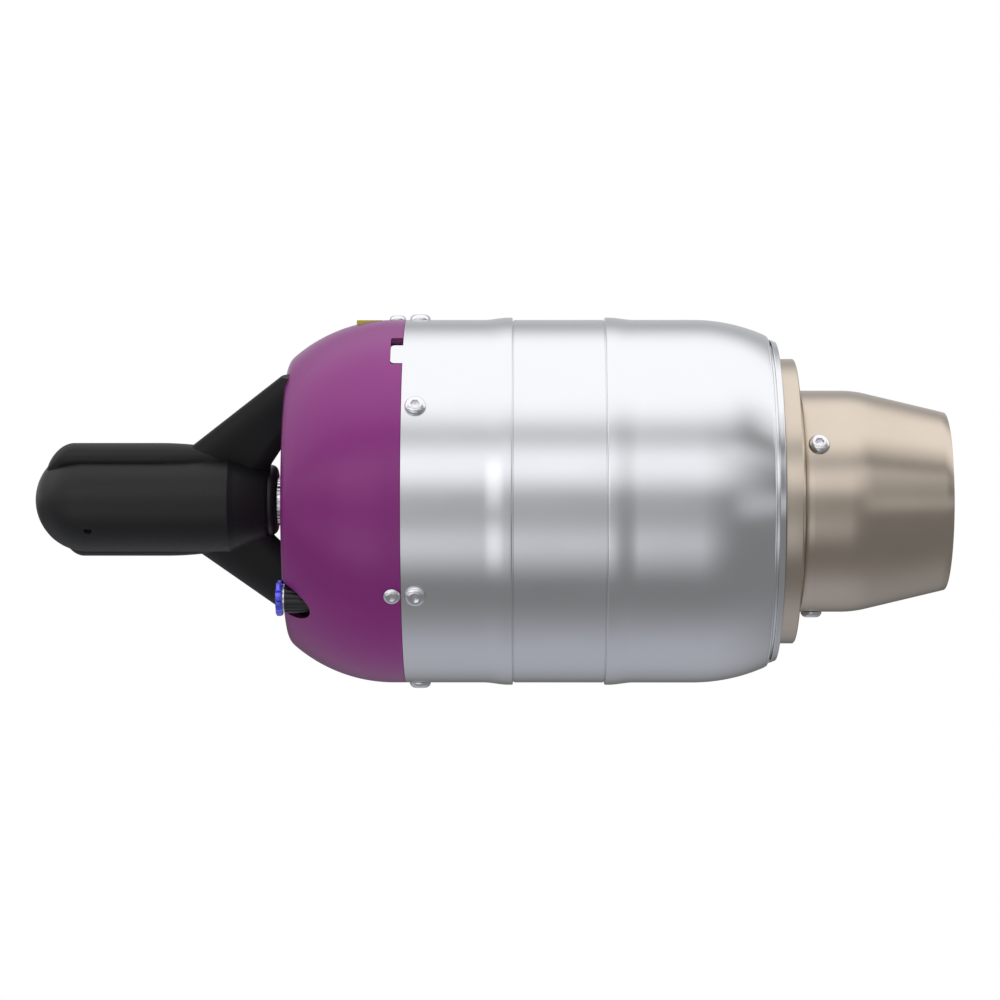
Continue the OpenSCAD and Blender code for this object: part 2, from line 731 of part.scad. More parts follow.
module diffuser() {
    color("silver") difference() {
        union() {
            // Floor behind the vanes, wall behind the wheel, and the seat of the shaft tunnel
            lathe([[diff_r0, comp_back_x], [liner_r, comp_back_x], [liner_r, rim_x1],
                   [liner_r - 1, rim_x1], [liner_r - 1, comp_back_x + 2.4],
                   [diff_r0 - 1.6, comp_back_x + 2.4], [diff_r0 - 2.5, web_rear_x],
                   [tunnel_r + 1, web_rear_x], [tunnel_r + 1, brg_seat_x - seat],
                   [web_bore_r, brg_seat_x - seat], [web_bore_r, web_front_x],
                   [diff_r0, web_front_x]]);
            // Rim under the case, thick in front where the case screws hold it
            lathe([[rim_seat_r, rim_front_x], [case_in - seat, rim_front_x], [case_in - seat, rim_x1],
                   [rim_in, rim_x1], [rim_in, rim_step_x + 2.2], [rim_seat_r, rim_step_x]]);
            // Radial vanes
            for (a = spread(15)) at(a) diffuser_vane();
            // Axial vanes that straighten the flow
            for (a = spread(30)) at(a) translate([rim_x1 - 7.8, -0.5, liner_r - 0.5])
                cube([7.4, 1, rim_in - liner_r + 1]);
        }
        around(case_screw_angles) radial_hole(case_screw_x, m3_r + seat / 2, case_r);
        at(pipe_angle) translate([0, 0, pipe_c]) rod(pipe_r + seat, rim_front_x - 1, rim_step_x + 3);
    }
}

// Point of a wedge vane, from its nose (s = 0) out to its tail, on its thin or its thick side
function vane_point(s, side) = let (
    r0 = diff_r0 + 1.5,
    r = r0 + (liner_r - 1.1 - r0) * s,
    a = 13.2 * pow(s, 0.75) + side * 4.4 * sqrt(s))
    [-r * cos(a), -r * sin(a)];

// Wedge vane standing in the radial passage, swept like the leaving flow
module diffuser_vane() {
    translate([shroud_x + 0.02, 0, 0]) rotate([0, 90, 0]) linear_extrude(exit_width)
        polygon([for (s = [0:0.25:1]) vane_point(s, 0), for (s = [0.9, 0.6, 0.3]) vane_point(s, 1)]);
}

// ---------------------------------------------------------------------------------------------
// Shaft line

module shaft() {
    color("gray") union() {
        rod(nut_thread_r, nut_nose_x + 4, le_x + 0.01);
        rod(stub_r, le_x, comp_rear_x);
        rod(shaft_r, comp_rear_x, turb_x1);
        rod(shaft_mid_r, front_brg_x + bearing_w, rear_brg_x);
        rod(stub_r, turb_x1 - 0.01, turb_x1 + 5.2);
    }
}

module front_spacer() {
    color("lightgray") ring(shaft_r + seat / 2, shaft_mid_r, comp_rear_x, front_brg_x);
}

module turbine_spacer() {
    color("lightgray") ring(shaft_r + seat / 2, shaft_mid_r + 0.5, rear_brg_x + bearing_w, turb_x0);
}

module race_inner(x) {
    color("gainsboro") difference() {
        ring(shaft_r + seat / 2, inner_race_r, x, x + bearing_w);
        ball_groove(x);
    }
}

module race_outer(x) {
    color("gainsboro") difference() {
        ring(outer_race_r, bearing_r, x, x + bearing_w);
        ball_groove(x);
    }
}

module ball_groove(x) {
    translate([x + bearing_w / 2, 0, 0]) rotate([0, 90, 0])
        rotate_extrude() translate([pitch_r, 0]) circle(r = race_groove, $fn = 32);
}

module ball_set(x) {
    color("white") for (a = spread(ball_count)) at(a)
        translate([x + bearing_w / 2, 0, pitch_r]) sphere(r = ball_r, $fn = 32);
}

module ball_cage(x) {
    color("tan") difference() {
        ring(pitch_r - 0.7, pitch_r + 0.7, x + 1.0, x + bearing_w - 1.0);
        for (a = spread(ball_count)) at(a)
            translate([x + bearing_w / 2, 0, pitch_r]) sphere(r = ball_r + 0.05, $fn = 32);
    }
}

module front_bearing_outer() race_outer(front_brg_x);
module front_bearing_inner() race_inner(front_brg_x);
module front_bearing_balls() ball_set(front_brg_x);
module front_bearing_cage() ball_cage(front_brg_x);
module rear_bearing_outer() race_outer(rear_brg_x);
module rear_bearing_inner() race_inner(rear_brg_x);
module rear_bearing_balls() ball_set(rear_brg_x);
module rear_bearing_cage() ball_cage(rear_brg_x);

module preload_spring() {
    n = spring_turns * 20;
    rise = (spring_len - 2 * spring_wire) / n;
    pts = [for (i = [0:n]) let (a = 360 * i / 20, x = spring_x0 + spring_wire + rise * i)
        for (j = [0:5]) let (r = spring_mid + spring_wire * cos(60 * j))
            [x + spring_wire * sin(60 * j), -r * sin(a), r * cos(a)]];
    color("dimgray") polyhedron(pts, tube_faces(n, 6));
}

module shaft_tunnel() {
    x1 = front_brg_x + bearing_w;
    x2 = rear_brg_x;
    color("silver") lathe([
        [bearing_r + 0.02, brg_seat_x], [tunnel_r, brg_seat_x],
        [tunnel_r, tunnel_x1],
        [bearing_r + 0.02, tunnel_x1], [bearing_r + 0.02, x2 - 0.02],
        [bearing_r - 1.8, x2 - 0.02], [bearing_r - 1.8, x1 + spring_len + 2 * seat],
        [bearing_r + 0.02, x1 + spring_len + 2 * seat]]);
}

// ---------------------------------------------------------------------------------------------
// Combustor

module outer_liner() {
    color("darkkhaki") difference() {
        lathe([[liner_r - liner_wall, liner_x0], [liner_r, liner_x0], [liner_r, liner_x1],
               [housing_r + seat, liner_x1], [housing_r + seat, liner_x1 - liner_wall],
               [liner_r - liner_wall, liner_x1 - liner_wall]]);
        around(spread(18)) radial_hole(liner_x0 + liner_len * 0.18, 1.6, liner_r);
        around(spread(18, 10)) radial_hole(liner_x0 + liner_len * 0.44, 2.2, liner_r);
        around(spread(18)) radial_hole(liner_x0 + liner_len * 0.73, 2.6, liner_r);
        for (a = spread(stick_count, 15)) at(a) translate([0, 0, stick_c])
            rod(stick_r + seat, liner_x1 - 3, liner_x1 + 1);
    }
}

module inner_liner() {
    color("darkkhaki") difference() {
        // The rear end widens to the guide vanes' inner ring
        lathe([[inner_liner_r - liner_wall, liner_x0], [inner_liner_r, liner_x0],
               [inner_liner_r, guide_x0 - 8], [guide_in, guide_x0 - 0.6], [guide_in, guide_x0 + 0.35],
               [guide_in - liner_wall, guide_x0 + 0.35], [guide_in - liner_wall, guide_x0 - 0.4],
               [inner_liner_r - liner_wall, guide_x0 - 7.8]]);
        around(spread(12)) radial_hole(liner_x0 + liner_len * 0.21, 1.5, inner_liner_r, 4);
        around(spread(12, 15)) radial_hole(liner_x0 + liner_len * 0.44, 1.8, inner_liner_r, 4);
        around(spread(12)) radial_hole(liner_x0 + liner_len * 0.66, 2, inner_liner_r, 4);
    }
}

module liner_front_plate() {
    color("darkkhaki") difference() {
        ring(inner_liner_r + seat, liner_r - liner_wall - seat, liner_x0, liner_x0 + liner_wall);
        around(spread(16)) translate([0, 0, igniter_c]) rod(1.2, liner_x0 - 1, liner_x0 + 2);
        around(spread(20)) translate([0, 0, stick_c - 1]) rod(1.4, liner_x0 - 1, liner_x0 + 2);
        at(igniter_angle) translate([0, 0, igniter_c]) rod(2 + seat, liner_x0 - 1, liner_x0 + 2);
    }
}

module vaporiser_tubes() {
    color("dimgray") for (a = spread(stick_count, 15)) at(a) translate([0, 0, stick_c]) difference() {
        rod(stick_r, stick_x0, liner_x1 + 2.5, $fn = 32);
        rod(stick_r - 0.4, stick_x0 - 1, liner_x1 + 4, $fn = 32);
    }
}

module fuel_manifold() {
    color("gray") {
        translate([manifold_x, 0, 0]) rotate([0, 90, 0])
            rotate_extrude() translate([stick_c, 0]) circle(r = manifold_r, $fn = 24);
        for (a = spread(stick_count, 15)) at(a) translate([0, 0, stick_c])
            rod(0.5, liner_x1 - 1, manifold_x, $fn = 16);
        at(pipe_angle) {
            radial(manifold_x, pipe_r, stick_c, pipe_c);
            translate([manifold_x, 0, pipe_c]) sphere(r = pipe_r, $fn = 32);
            translate([0, 0, pipe_c]) rod(pipe_r, shroud_rim_x - 1.5, manifold_x, $fn = 32);
        }
    }
}

module igniter() {
    color("white") at(igniter_angle) translate([0, 0, igniter_c]) {
        rod(2.6, web_rear_x + seat, liner_x0 - 4, $fn = 32);
        rod(2, liner_x0 - 4 - eps, liner_x0 + 9, $fn = 32);
    }
}

// ---------------------------------------------------------------------------------------------
// Turbine

// Cambered blade section across the engine axis: x along the chord, y round the engine
function blade_point(s, chord, camber, t) =
    [chord * s, camber * 4 * s * (1 - s) + t * sin(180 * pow(s, 0.7)) / 2];

module blade_outline(chord, camber, t) {
    polygon([for (i = [0:5]) blade_point(i / 5, chord, camber, t),
             for (i = [4:-1:1]) blade_point(i / 5, chord, camber, -t)]);
}

module guide_vanes() {
    x0 = guide_x0;
    x1 = guide_x0 + guide_len;
    color("darkgray") union() {
        // Inner ring with its disc on the tunnel, and outer ring in the housing
        lathe([[tunnel_r + seat, x0], [guide_in - liner_wall - seat, x0],
               [guide_in - liner_wall - seat, x0 + 0.4], [guide_in, x0 + 0.4], [guide_in, x1],
               [guide_in - 1.4, x1], [guide_in - 1.4, x0 + 1.4], [tunnel_r + seat, x0 + 1.4]]);
        ring(guide_out - 0.8, guide_out, x0, x1);
        intersection() {
            ring(guide_in - 0.5, guide_out - 0.4, x0, x1);
            for (a = spread(guide_vane_count)) at(a)
                translate([x0 + 1, 0, guide_in - 1]) rotate([0, 0, 28])
                    linear_extrude(guide_out - guide_in + 2) blade_outline(9.5, 2.0, 1.5);
        }
    }
}

module turbine_wheel() {
    color("slategray") difference() {
        union() {
            lathe([[0, turb_x0], [8.2, turb_x0], [9, turb_x0 + 3], [13, turb_x0 + 5.6],
                   [rim_r, turb_x0 + 5.4], [rim_r, turb_x0 + 13], [13, turb_x0 + 12.4],
                   [9.5, turb_x0 + 13.4], [8.2, turb_x1], [0, turb_x1]]);
            intersection() {
                ring(rim_r - 0.6, turb_r, turb_x0 + 5, turb_x0 + 14);
                for (a = spread(turb_blades)) at(a)
                    translate([turb_x0 + 5.7, 2.4, rim_r - 1]) rotate([0, 0, -38])
                        linear_extrude(turb_r - rim_r + 2) blade_outline(8.4, 1.6, 1.3);
            }
        }
        rod(shaft_r + seat / 2, turb_x0 - 1, turb_x1 + 1);
    }
}

module turbine_nut() {
    color("gainsboro") difference() {
        rod(5.77, turb_x1 + 0.02, turb_x1 + 4.5, $fn = 6);
        rod(stub_r + seat / 2, turb_x1 - 1, turb_x1 + 6);
    }
}

module turbine_housing() {
    color("tan") difference() {
        lathe([[housing_in, housing_x0], [housing_r, housing_x0], [housing_r, shoulder_x],
               [case_hole_r - seat, shoulder_x], [case_hole_r - seat, flange_x0],
               [flange_r - 0.3, flange_x0], [flange_r, flange_x0 + 0.3],
               [flange_r, flange_x1 - flange_edge], [flange_r - flange_edge, flange_x1],
               [housing_r, flange_x1], [housing_r, spigot_x1], [housing_in, spigot_x1]]);
        around(nozzle_screw_angles) radial_hole(nozzle_screw_x, m3_r + seat / 2, nozzle_r);
    }
}

// ---------------------------------------------------------------------------------------------
// Exhaust

function nozzle_line(d) = concat(
    [[nozzle_r - d, nozzle_x0]],
    arc([nozzle_r - bend_r, bend_x - bend_t], bend_r - d, 0, nozzle_a, 8),
    [[exit_r - d, exit_x]]);

module exhaust_nozzle() {
    color("tan") difference() {
        lathe(concat(nozzle_line(0), flip(nozzle_line(nozzle_wall))));
        around(nozzle_screw_angles) radial_hole(nozzle_screw_x, m3_r + 0.1, nozzle_r);
    }
}

module nozzle_screws() {
    color("gainsboro") around(nozzle_screw_angles)
        button_screw(nozzle_screw_x, nozzle_r, m3_head_d, m3_head_h, m3_r, nozzle_screw_len);
}

module exhaust_cone() {
    pad_r0 = housing_in - 2.2;
    color("dimgray") difference() {
        union() {
            lathe([[cone_r - cone_wall, cone_x], [cone_r, cone_x], [cone_r, cone_x + 9],
                   [cone_r - 1.8, cone_x + 14], [1.2, cone_x + 30], [0, cone_x + 30], [0, cone_x + 29],
                   [cone_r - 2.2, cone_x + 13.6], [cone_r - cone_wall, cone_x + 9]]);
            // Legs, each ending in a pad that a nozzle screw holds
            around(nozzle_screw_angles) translate([nozzle_screw_x - 3.5, 0, 0]) {
                translate([0, -0.5, cone_r - 0.4]) cube([7, 1, pad_r0 - cone_r + 1.4]);
                translate([0, -3, pad_r0]) cube([7, 6, 1.8]);
            }
        }
        around(nozzle_screw_angles) radial_hole(nozzle_screw_x, m3_r + seat / 2, nozzle_r, 8);
    }
}

// ---------------------------------------------------------------------------------------------
// Inside the cover

module control_board() {
    color("darkgreen") difference() {
        union() {
            intersection() {
                ring(board_r0, board_r1, board_x0, board_x0 + board_t);
                translate([board_x0 - 1, -case_r, board_z0]) cube([5, case_d, case_r]);
            }
            // Two chips and a capacitor
            at(-30) translate([board_x0 - 1.6, -5, board_mid - 5]) cube([1.6 + eps, 10, 10]);
            at(33) translate([board_x0 - 1.2, -4, board_mid - 4]) cube([1.2 + eps, 8, 7]);
            at(-50) translate([0, 0, board_mid - 3]) rod(3.6, board_x0 - 8, board_x0 + eps, $fn = 48);
        }
        around(post_angles) translate([0, 0, post_c])
            rod(post_r + 0.1, board_x0 - 1, board_x0 + 3, $fn = 32);
    }
}

module board_posts() {
    color("goldenrod") around(post_angles) translate([0, 0, post_c]) {
        rod(2.2, board_x0 + board_t + seat, web_x - seat, $fn = 6);
        rod(post_r, board_x0 - 1, board_x0 + board_t + 0.1, $fn = 32);
        rod(2.3, board_x0 - 1.6, board_x0 - seat, $fn = 32);
    }
}

module fuel_pump() {
    color("silver") at(pump_angle) translate([0, 0, pump_c]) {
        rod(pump_r - 1, bay_x0, pump_head_x + eps);
        rod(pump_r, pump_head_x, web_x - seat);
        rod(2.2, bay_x0 - 1.5, bay_x0 + eps, $fn = 32);
    }
}

module fuel_valves() {
    color("lightgray") around(valve_angles) translate([0, 0, valve_c]) {
        rod(valve_r, bay_x0, valve_x1, $fn = 48);
        rod(2.6, valve_x1 - eps, web_x - seat, $fn = 48);
    }
}

// Short tubes in the cover: fitting to pump, pump to valve, valve to valve
module fuel_lines() {
    color("black") difference() {
        tube_arc(fitting_angle, valve_angles[1]);
        at(fitting_angle) translate([0, 0, fitting_c]) rod(boss_r + seat, boss_x0, web_x);
        at(pump_angle) translate([0, 0, pump_c]) rod(pump_r + seat, pump_head_x, web_x);
        around(valve_angles) translate([0, 0, valve_c]) rod(valve_r + seat, bay_x0, web_x);
    }
}

module tube_arc(a0, a1) {
    at(a0) translate([line_x, 0, 0]) rotate([0, 90, 0]) rotate([0, 0, 180])
        rotate_extrude(angle = a1 - a0) translate([line_c, 0]) circle(r = line_r, $fn = 32);
}

starter_housing();
starter_motor();
motor_shaft();
clutch_drum();
clutch_ring();
intake_cover();
cover_screws();
fuel_fitting();
grab_ring();
release_collar();
power_socket();
compressor_shroud();
control_board();
board_posts();
fuel_pump();
fuel_valves();
fuel_lines();
outer_case();
case_screws();
diffuser();
compressor_wheel();
compressor_nut();
shaft();
front_spacer();
front_bearing_outer();
front_bearing_inner();
front_bearing_balls();
front_bearing_cage();
rear_bearing_outer();
rear_bearing_inner();
rear_bearing_balls();
rear_bearing_cage();
preload_spring();
shaft_tunnel();
outer_liner();
inner_liner();
liner_front_plate();
vaporiser_tubes();
fuel_manifold();
igniter();
guide_vanes();
turbine_housing();
turbine_wheel();
turbine_spacer();
turbine_nut();
exhaust_nozzle();
nozzle_screws();
exhaust_cone();
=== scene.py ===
"""Outer pieces, finishes, studio and camera of a model turbojet engine, built round its CAD frame.

Stations run along X from the middle of the strap seat, intake at -X. An angle about the engine
axis starts straight up and grows towards -Y. Outlines are in millimetres, as (station, radius).
"""
import json
import math

import bmesh
import bpy
import numpy as np
from bpy.props import FloatProperty, FloatVectorProperty, IntProperty, PointerProperty
from mathutils import Matrix, Vector
from mathutils.bvhtree import BVHTree


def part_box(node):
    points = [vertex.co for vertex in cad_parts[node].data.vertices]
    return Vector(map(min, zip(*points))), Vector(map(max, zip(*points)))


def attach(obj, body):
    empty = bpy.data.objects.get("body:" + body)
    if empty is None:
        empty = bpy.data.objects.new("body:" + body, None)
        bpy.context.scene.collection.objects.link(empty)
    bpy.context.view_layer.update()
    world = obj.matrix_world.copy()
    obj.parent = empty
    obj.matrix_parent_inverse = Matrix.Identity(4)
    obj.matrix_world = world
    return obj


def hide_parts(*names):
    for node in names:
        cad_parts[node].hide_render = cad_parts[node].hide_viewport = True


bl_info = {
    "name": "Model turbojet engine",
    "version": (1, 0, 0),
    "blender": (4, 5, 0),
    "location": "3D View > Sidebar > Turbojet",
    "description": "Outer pieces, finishes, studio and camera of a model turbojet engine",
    "category": "Object",
}

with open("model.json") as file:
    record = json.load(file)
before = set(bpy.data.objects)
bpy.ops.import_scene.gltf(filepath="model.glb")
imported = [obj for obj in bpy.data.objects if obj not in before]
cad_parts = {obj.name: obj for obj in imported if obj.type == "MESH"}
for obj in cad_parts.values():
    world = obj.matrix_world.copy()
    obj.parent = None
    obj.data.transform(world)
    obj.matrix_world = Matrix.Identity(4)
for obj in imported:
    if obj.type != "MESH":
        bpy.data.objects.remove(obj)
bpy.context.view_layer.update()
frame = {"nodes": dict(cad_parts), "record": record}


def reach(node, axis, side):
    """How far a CAD node reaches along an axis (0 to 2) on its low (0) or high (1) side, in mm."""
    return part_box(node)[side][axis] * 1000


# Main sizes of the frame, in mm
CASE_R = reach("intake_cover", 1, 1)
CASE_X0 = reach("intake_cover", 0, 1) + 0.05
CASE_X1 = reach("outer_case", 0, 1)
TONGUE_X = reach("outer_case", 0, 0)
FRONT_X = reach("intake_cover", 0, 0)
LIP_X = FRONT_X + 0.65      # the visible lip lies a little behind the solid's
NOSE_X = reach("starter_housing", 0, 0)
CONE_X = FRONT_X - 15.25    # where the starter pod starts to taper
TAIL_X = FRONT_X - 2.35     # rear face of the pod's rim
VENT_X = NOSE_X + 15.4      # station and angle of the pod's vent
VENT_TURN = 126.5
UPPER, LOWER = 32, 212      # angles of the pod's ducts and struts
STRAP_SEAT = next(m for m in frame["record"]["mounts"] if m["name"] == "strap_seat")
SEAT_W = STRAP_SEAT["dims"]["length_mm"]
TONGUE = (33.4, 42.7)       # first and last angle of the case's tongue
NOTCH = (28.5, 43.1)        # the same of the cover's notch


# ------------------------------------------------------------------------------------ properties

def colour(code):
    """Linear values of an sRGB hex colour."""
    parts = [int(code[i:i + 2], 16) / 255 for i in (1, 3, 5)]
    return [c / 12.92 if c <= 0.04045 else ((c + 0.055) / 1.055) ** 2.4 for c in parts]


def number(name, description, default, **settings):
    return FloatProperty(name=name, description=description, default=default, **settings)


def length(name, description, millimetres):
    return number(name, description, millimetres / 1000, min=0, precision=5, unit="LENGTH")


def tint(name, description, code):
    return FloatVectorProperty(name=name, description=description, default=colour(code),
                               size=3, min=0, max=1, subtype="COLOR")


class TurbojetSizes(bpy.types.PropertyGroup):
    """Sizes of the outer pieces"""
    case_wall: length("Case wall", "Sheet thickness of the drawn case", 0.8)
    shoulder: length("Shoulder height", "Height of the shoulders beside the strap seat", 0.62)
    shoulder_fade: length("Shoulder fade", "Length over which a shoulder fades into the case", 8)
    tongue_corner: length("Tongue corners", "Radius of the corners of the case's tongue", 1.1)
    seat_groove: length("Seat groove", "Width of the fine groove at the foot of each shoulder", 0.4)
    dome: length("Dome radius", "Radius of the long curve that closes the case", 48)
    dome_corner: length("Corner radius", "Radius of the tight corner at the rear", 5.5)
    dome_end: length("Corner end", "Radius at which the tight corner turns flat", 40.1)
    bead: length("Bead width", "Length along the axis of the polished bead at the rear edge", 1.85)
    bead_seam: length("Bead seam", "Width of the seam in front of the polished bead", 0.4)
    cover_wall: length("Cover wall", "Wall thickness of the intake cover", 1.8)
    cover_curve: length("Cover curve", "Radius of the cover's long outer curve", 41)
    lip_corner: length("Lip corner", "Radius of the outer corner at the lip", 5.1)
    lip: length("Lip circle", "Radius of the frontmost circle of the lip", 35.3)
    throat: length("Throat", "Radius of the intake throat", 20.4)
    pod: length("Pod radius", "Radius of the starter pod", 14)
    pod_lift: length("Pod lift", "How far the pod and its struts sit above the engine axis", 0.37)
    duct: length("Duct radius", "Radius of the wire duct along the pod", 3.4)
    duct_blend: length("Duct blend", "Softness of the line between pod and duct", 0.35)
    strut: length("Strut thickness", "Greatest thickness of a strut", 4.2)
    nozzle_wall: length("Nozzle wall", "Sheet thickness of the nozzle", 0.8)
    nozzle_exit: length("Nozzle exit", "Outside radius of the nozzle at its exit", 24)
    flange_chamfer: length("Flange edge", "Chamfer at the rear edge of the flange", 0.25)
    m3_head: length("M3 head", "Head diameter of the case and nozzle screws", 5.7)
    m25_head: length("M2.5 head", "Head diameter of the cover screws", 4.6)
    steps: IntProperty(name="Round steps", description="Faces round the largest pieces",
                       default=360, min=48, max=720)


class TurbojetColours(bpy.types.PropertyGroup):
    """Base colours of the finishes"""
    steel: tint("Drawn steel", "Base colour of the case's stainless steel", "#E3E4E7")
    straw: tint("Tempered steel", "Base colour of the heat-tinted nozzle steel", "#CFC2B3")
    screw: tint("Screw steel", "Base colour of the screws", "#E6E6EA")
    purple: tint("Purple anodising", "Dye of the anodised intake cover", "#6F1A65")
    aluminium: tint("Aluminium", "Base colour of plain machined aluminium", "#D9DADC")
    nylon: tint("Black nylon", "Moulded black nylon of the starter pod", "#121214")
    collar: tint("Blue acetal", "Release collar of the fuel fitting", "#5C5CE2")
    socket: tint("Olive nylon", "Moulded power socket", "#A09A1E")
    laminate: tint("Board green", "Solder resist of the control board", "#1D5A32")
    alloy: tint("Cast nickel alloy", "Turbine wheel and guide vanes", "#9A958D")
    liner: tint("Liner steel", "Heat-tinted combustor sheet", "#A08C6C")
    rubber: tint("Rubber", "Clutch ring and hoses", "#17171A")
    brass: tint("Brass", "Board posts", "#C9A04E")
    ceramic: tint("Ceramic", "Bearing balls and igniter body", "#E9E6DE")
    cage: tint("Cage resin", "Phenolic bearing cages", "#7C5A33")


class TurbojetStudio(bpy.types.PropertyGroup):
    """Light, floor and camera"""
    distance: length("Camera distance", "From the camera to the engine axis", 900)
    camera_x: length("Camera station", "Station of the camera ahead of the strap seat", 8.5)
    target_x: length("Target station", "Station that the camera looks at, ahead of the seat", 15.8)
    target_rise: length("Target rise", "Height above the axis that the camera looks at", 0.32)
    lens: number("Lens", "Focal length", 119.7, min=1, subtype="DISTANCE_CAMERA")
    roll: number("Roll", "Camera roll", 0.0, subtype="ANGLE")
    floor_drop: length("Floor drop", "From the engine axis down to the floor", 190)
    key: number("Key lamp", "Power of the lamp overhead", 9, min=0, unit="POWER")
    fill: number("Fill lamp", "Power of the lamps at both sides", 1, min=0, unit="POWER")
    ambient: number("Ambient", "World light on matt surfaces", 0.78, min=0)
    tent: length("Tent radius", "Radius of the reflection tent", 650)


def millimetres(group):
    """The lengths of a property group in mm, by name."""
    rna = group.bl_rna.properties
    return {k: getattr(group, k) * 1000 for k in group.__annotations__ if rna[k].unit == "LENGTH"}


# -------------------------------------------------------------------------------------- outlines

def arc(centre, radius, start, end, steps=16):
    """Arc as (station, radius) points: angle 0 points away from the axis, 90 aft."""
    return [(centre[0] + radius * math.sin(math.radians(a)),
             centre[1] + radius * math.cos(math.radians(a)))
            for a in np.linspace(start, end, steps + 1)]


def straight(start, end, spacing=2.0):
    """Evenly spaced points from start towards end, without end itself."""
    n = max(1, int(math.dist(start, end) / spacing))
    return [(start[0] + (end[0] - start[0]) * i / n, start[1] + (end[1] - start[1]) * i / n)
            for i in range(n)]


def polyline(corners, spacing=2.0):
    """Evenly spaced points along straight lines through the corners."""
    points = []
    for a, b in zip(corners, corners[1:]):
        points += straight(a, b, spacing)
    return points + [corners[-1]]


# ---------------------------------------------------------------------------------------- meshes

def about_axis(points, angle):
    """Points (n, 3) turned about the engine axis; what lies at the top goes to that angle."""
    turn = np.array(Matrix.Rotation(math.radians(angle), 3, "X"))
    return np.asarray(points) @ turn.T


def full_turn(steps):
    """Even angles once round, in radians."""
    return np.radians(np.arange(steps) * 360 / steps)


def circle(x, radius, turn, rise=0.0):
    """Points (n, 3) at a station and radius, at n angles in radians, about a line along X that
    lies that rise above the engine axis. The radius may be one for all angles or n."""
    y, z = -radius * np.sin(turn), rise + radius * np.cos(turn)
    return np.stack([np.full(len(turn), x), y, z], -1)


def skin(rings, closed_round=True, closed_along=False):
    """Points and quads of a surface over rings of equal length, (rings, points, 3)."""
    rings = np.asarray(rings, float)
    m, n = rings.shape[:2]
    index = np.arange(m * n).reshape(m, n)
    rows = index if closed_along else index[:-1]
    above = np.roll(index, -1, 0) if closed_along else index[1:]
    if closed_round:
        a, b, c, d = rows, np.roll(rows, -1, 1), np.roll(above, -1, 1), above
    else:
        a, b, c, d = rows[:, :-1], rows[:, 1:], above[:, 1:], above[:, :-1]
    return rings.reshape(-1, 3), np.stack([a, b, c, d], -1).reshape(-1, 4).tolist()


def capped(rings):
    """Points and faces of a closed solid over rings, with a flat face at each end."""
    points, faces = skin(rings)
    last, n = len(points) - 1, len(rings[0])
    return points, faces + [list(range(n)), list(range(last, last - n, -1))]


def lathe(outline, steps):
    """Points and quads of a closed outline turned about the engine axis."""
    line, turn = np.asarray(outline, float), full_turn(steps)
    rings = np.stack([np.broadcast_to(line[:, 0], (steps, len(line))),
                      -np.outer(np.sin(turn), line[:, 1]), np.outer(np.cos(turn), line[:, 1])], -1)
    return skin(rings, closed_along=True)


def shell(line_at, wall, steps):
    """Turned sheet between its outer line and the line at the depth of its wall."""
    return lathe(line_at(0) + line_at(wall)[::-1], steps)


def joined(*parts):
    """One (points, faces) from several."""
    points, faces, start = [], [], 0
    for spots, quads in parts:
        points.append(spots)
        faces += [[i + start for i in quad] for quad in quads]
        start += len(spots)
    return np.concatenate(points), faces


def as_object(name, points, faces, sharp=32):
    """Mesh object from points in mm: outward faces, smooth apart from edges over an angle."""
    mesh = bpy.data.meshes.new(name)
    mesh.from_pydata((np.asarray(points) / 1000).tolist(), [], faces)
    bm = bmesh.new()
    bm.from_mesh(mesh)
    bmesh.ops.remove_doubles(bm, verts=bm.verts, dist=2e-6)
    bmesh.ops.dissolve_degenerate(bm, edges=bm.edges, dist=1e-7)
    bmesh.ops.recalc_face_normals(bm, faces=bm.faces)
    bm.to_mesh(mesh)
    bm.free()
    mesh.shade_smooth()
    mesh.set_sharp_from_angle(angle=math.radians(sharp))
    made = bpy.data.objects.new(name, mesh)
    bpy.context.scene.collection.objects.link(made)
    return made


def cut(made, *cutters):
    """Cuts solids out of an object, and keeps the shading that its surface had before."""
    whole = made.data.copy()
    for cutter in cutters:
        step = made.modifiers.new("cut", "BOOLEAN")
        step.object, step.solver = cutter, "EXACT"
    bpy.context.view_layer.update()
    evaluated = made.evaluated_get(bpy.context.evaluated_depsgraph_get())
    result = bpy.data.meshes.new_from_object(evaluated)
    made.modifiers.clear()
    made.data = result
    for cutter in cutters:
        bpy.data.objects.remove(cutter)
    if len(result.polygons) < 4:
        raise RuntimeError(f"nothing is left of {made.name} after its cuts")
    result.shade_smooth()
    result.set_sharp_from_angle(angle=math.radians(32))
    keep_shading(result, whole)
    return made


def keep_shading(mesh, whole):
    """Gives each corner of mesh the normal of the uncut surface where the two lie together."""
    tree = BVHTree.FromPolygons([v.co for v in whole.vertices],
                                [p.vertices for p in whole.polygons])
    corners = [n.vector.copy() for n in whole.corner_normals]
    normals = [n.vector.copy() for n in mesh.corner_normals]
    for face in mesh.polygons:
        for i in face.loop_indices:
            spot = mesh.vertices[mesh.loops[i].vertex_index].co
            near = tree.find_nearest(spot.lerp(face.center, 0.02))
            if near[0] is None or near[3] > 2e-5 or near[1].dot(face.normal) < 0.9:
                normals[i] = face.normal.copy()
                continue
            gaps = [((whole.vertices[whole.loops[k].vertex_index].co - spot).length, k)
                    for k in whole.polygons[near[2]].loop_indices]
            closest, corner = min(gaps)
            if closest < 1e-6:
                normals[i] = corners[corner].normalized()
            else:
                total = sum((corners[k] / gap for gap, k in gaps), Vector())
                normals[i] = total.normalized()
    mesh.normals_split_custom_set(normals)


def fit(made, body, slot, material, *nodes):
    """Puts a piece on its body, with its finish, in place of CAD nodes."""
    made.data.materials.clear()
    made.data.materials.append(material)
    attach(made, body)
    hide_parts(*nodes)
    return made


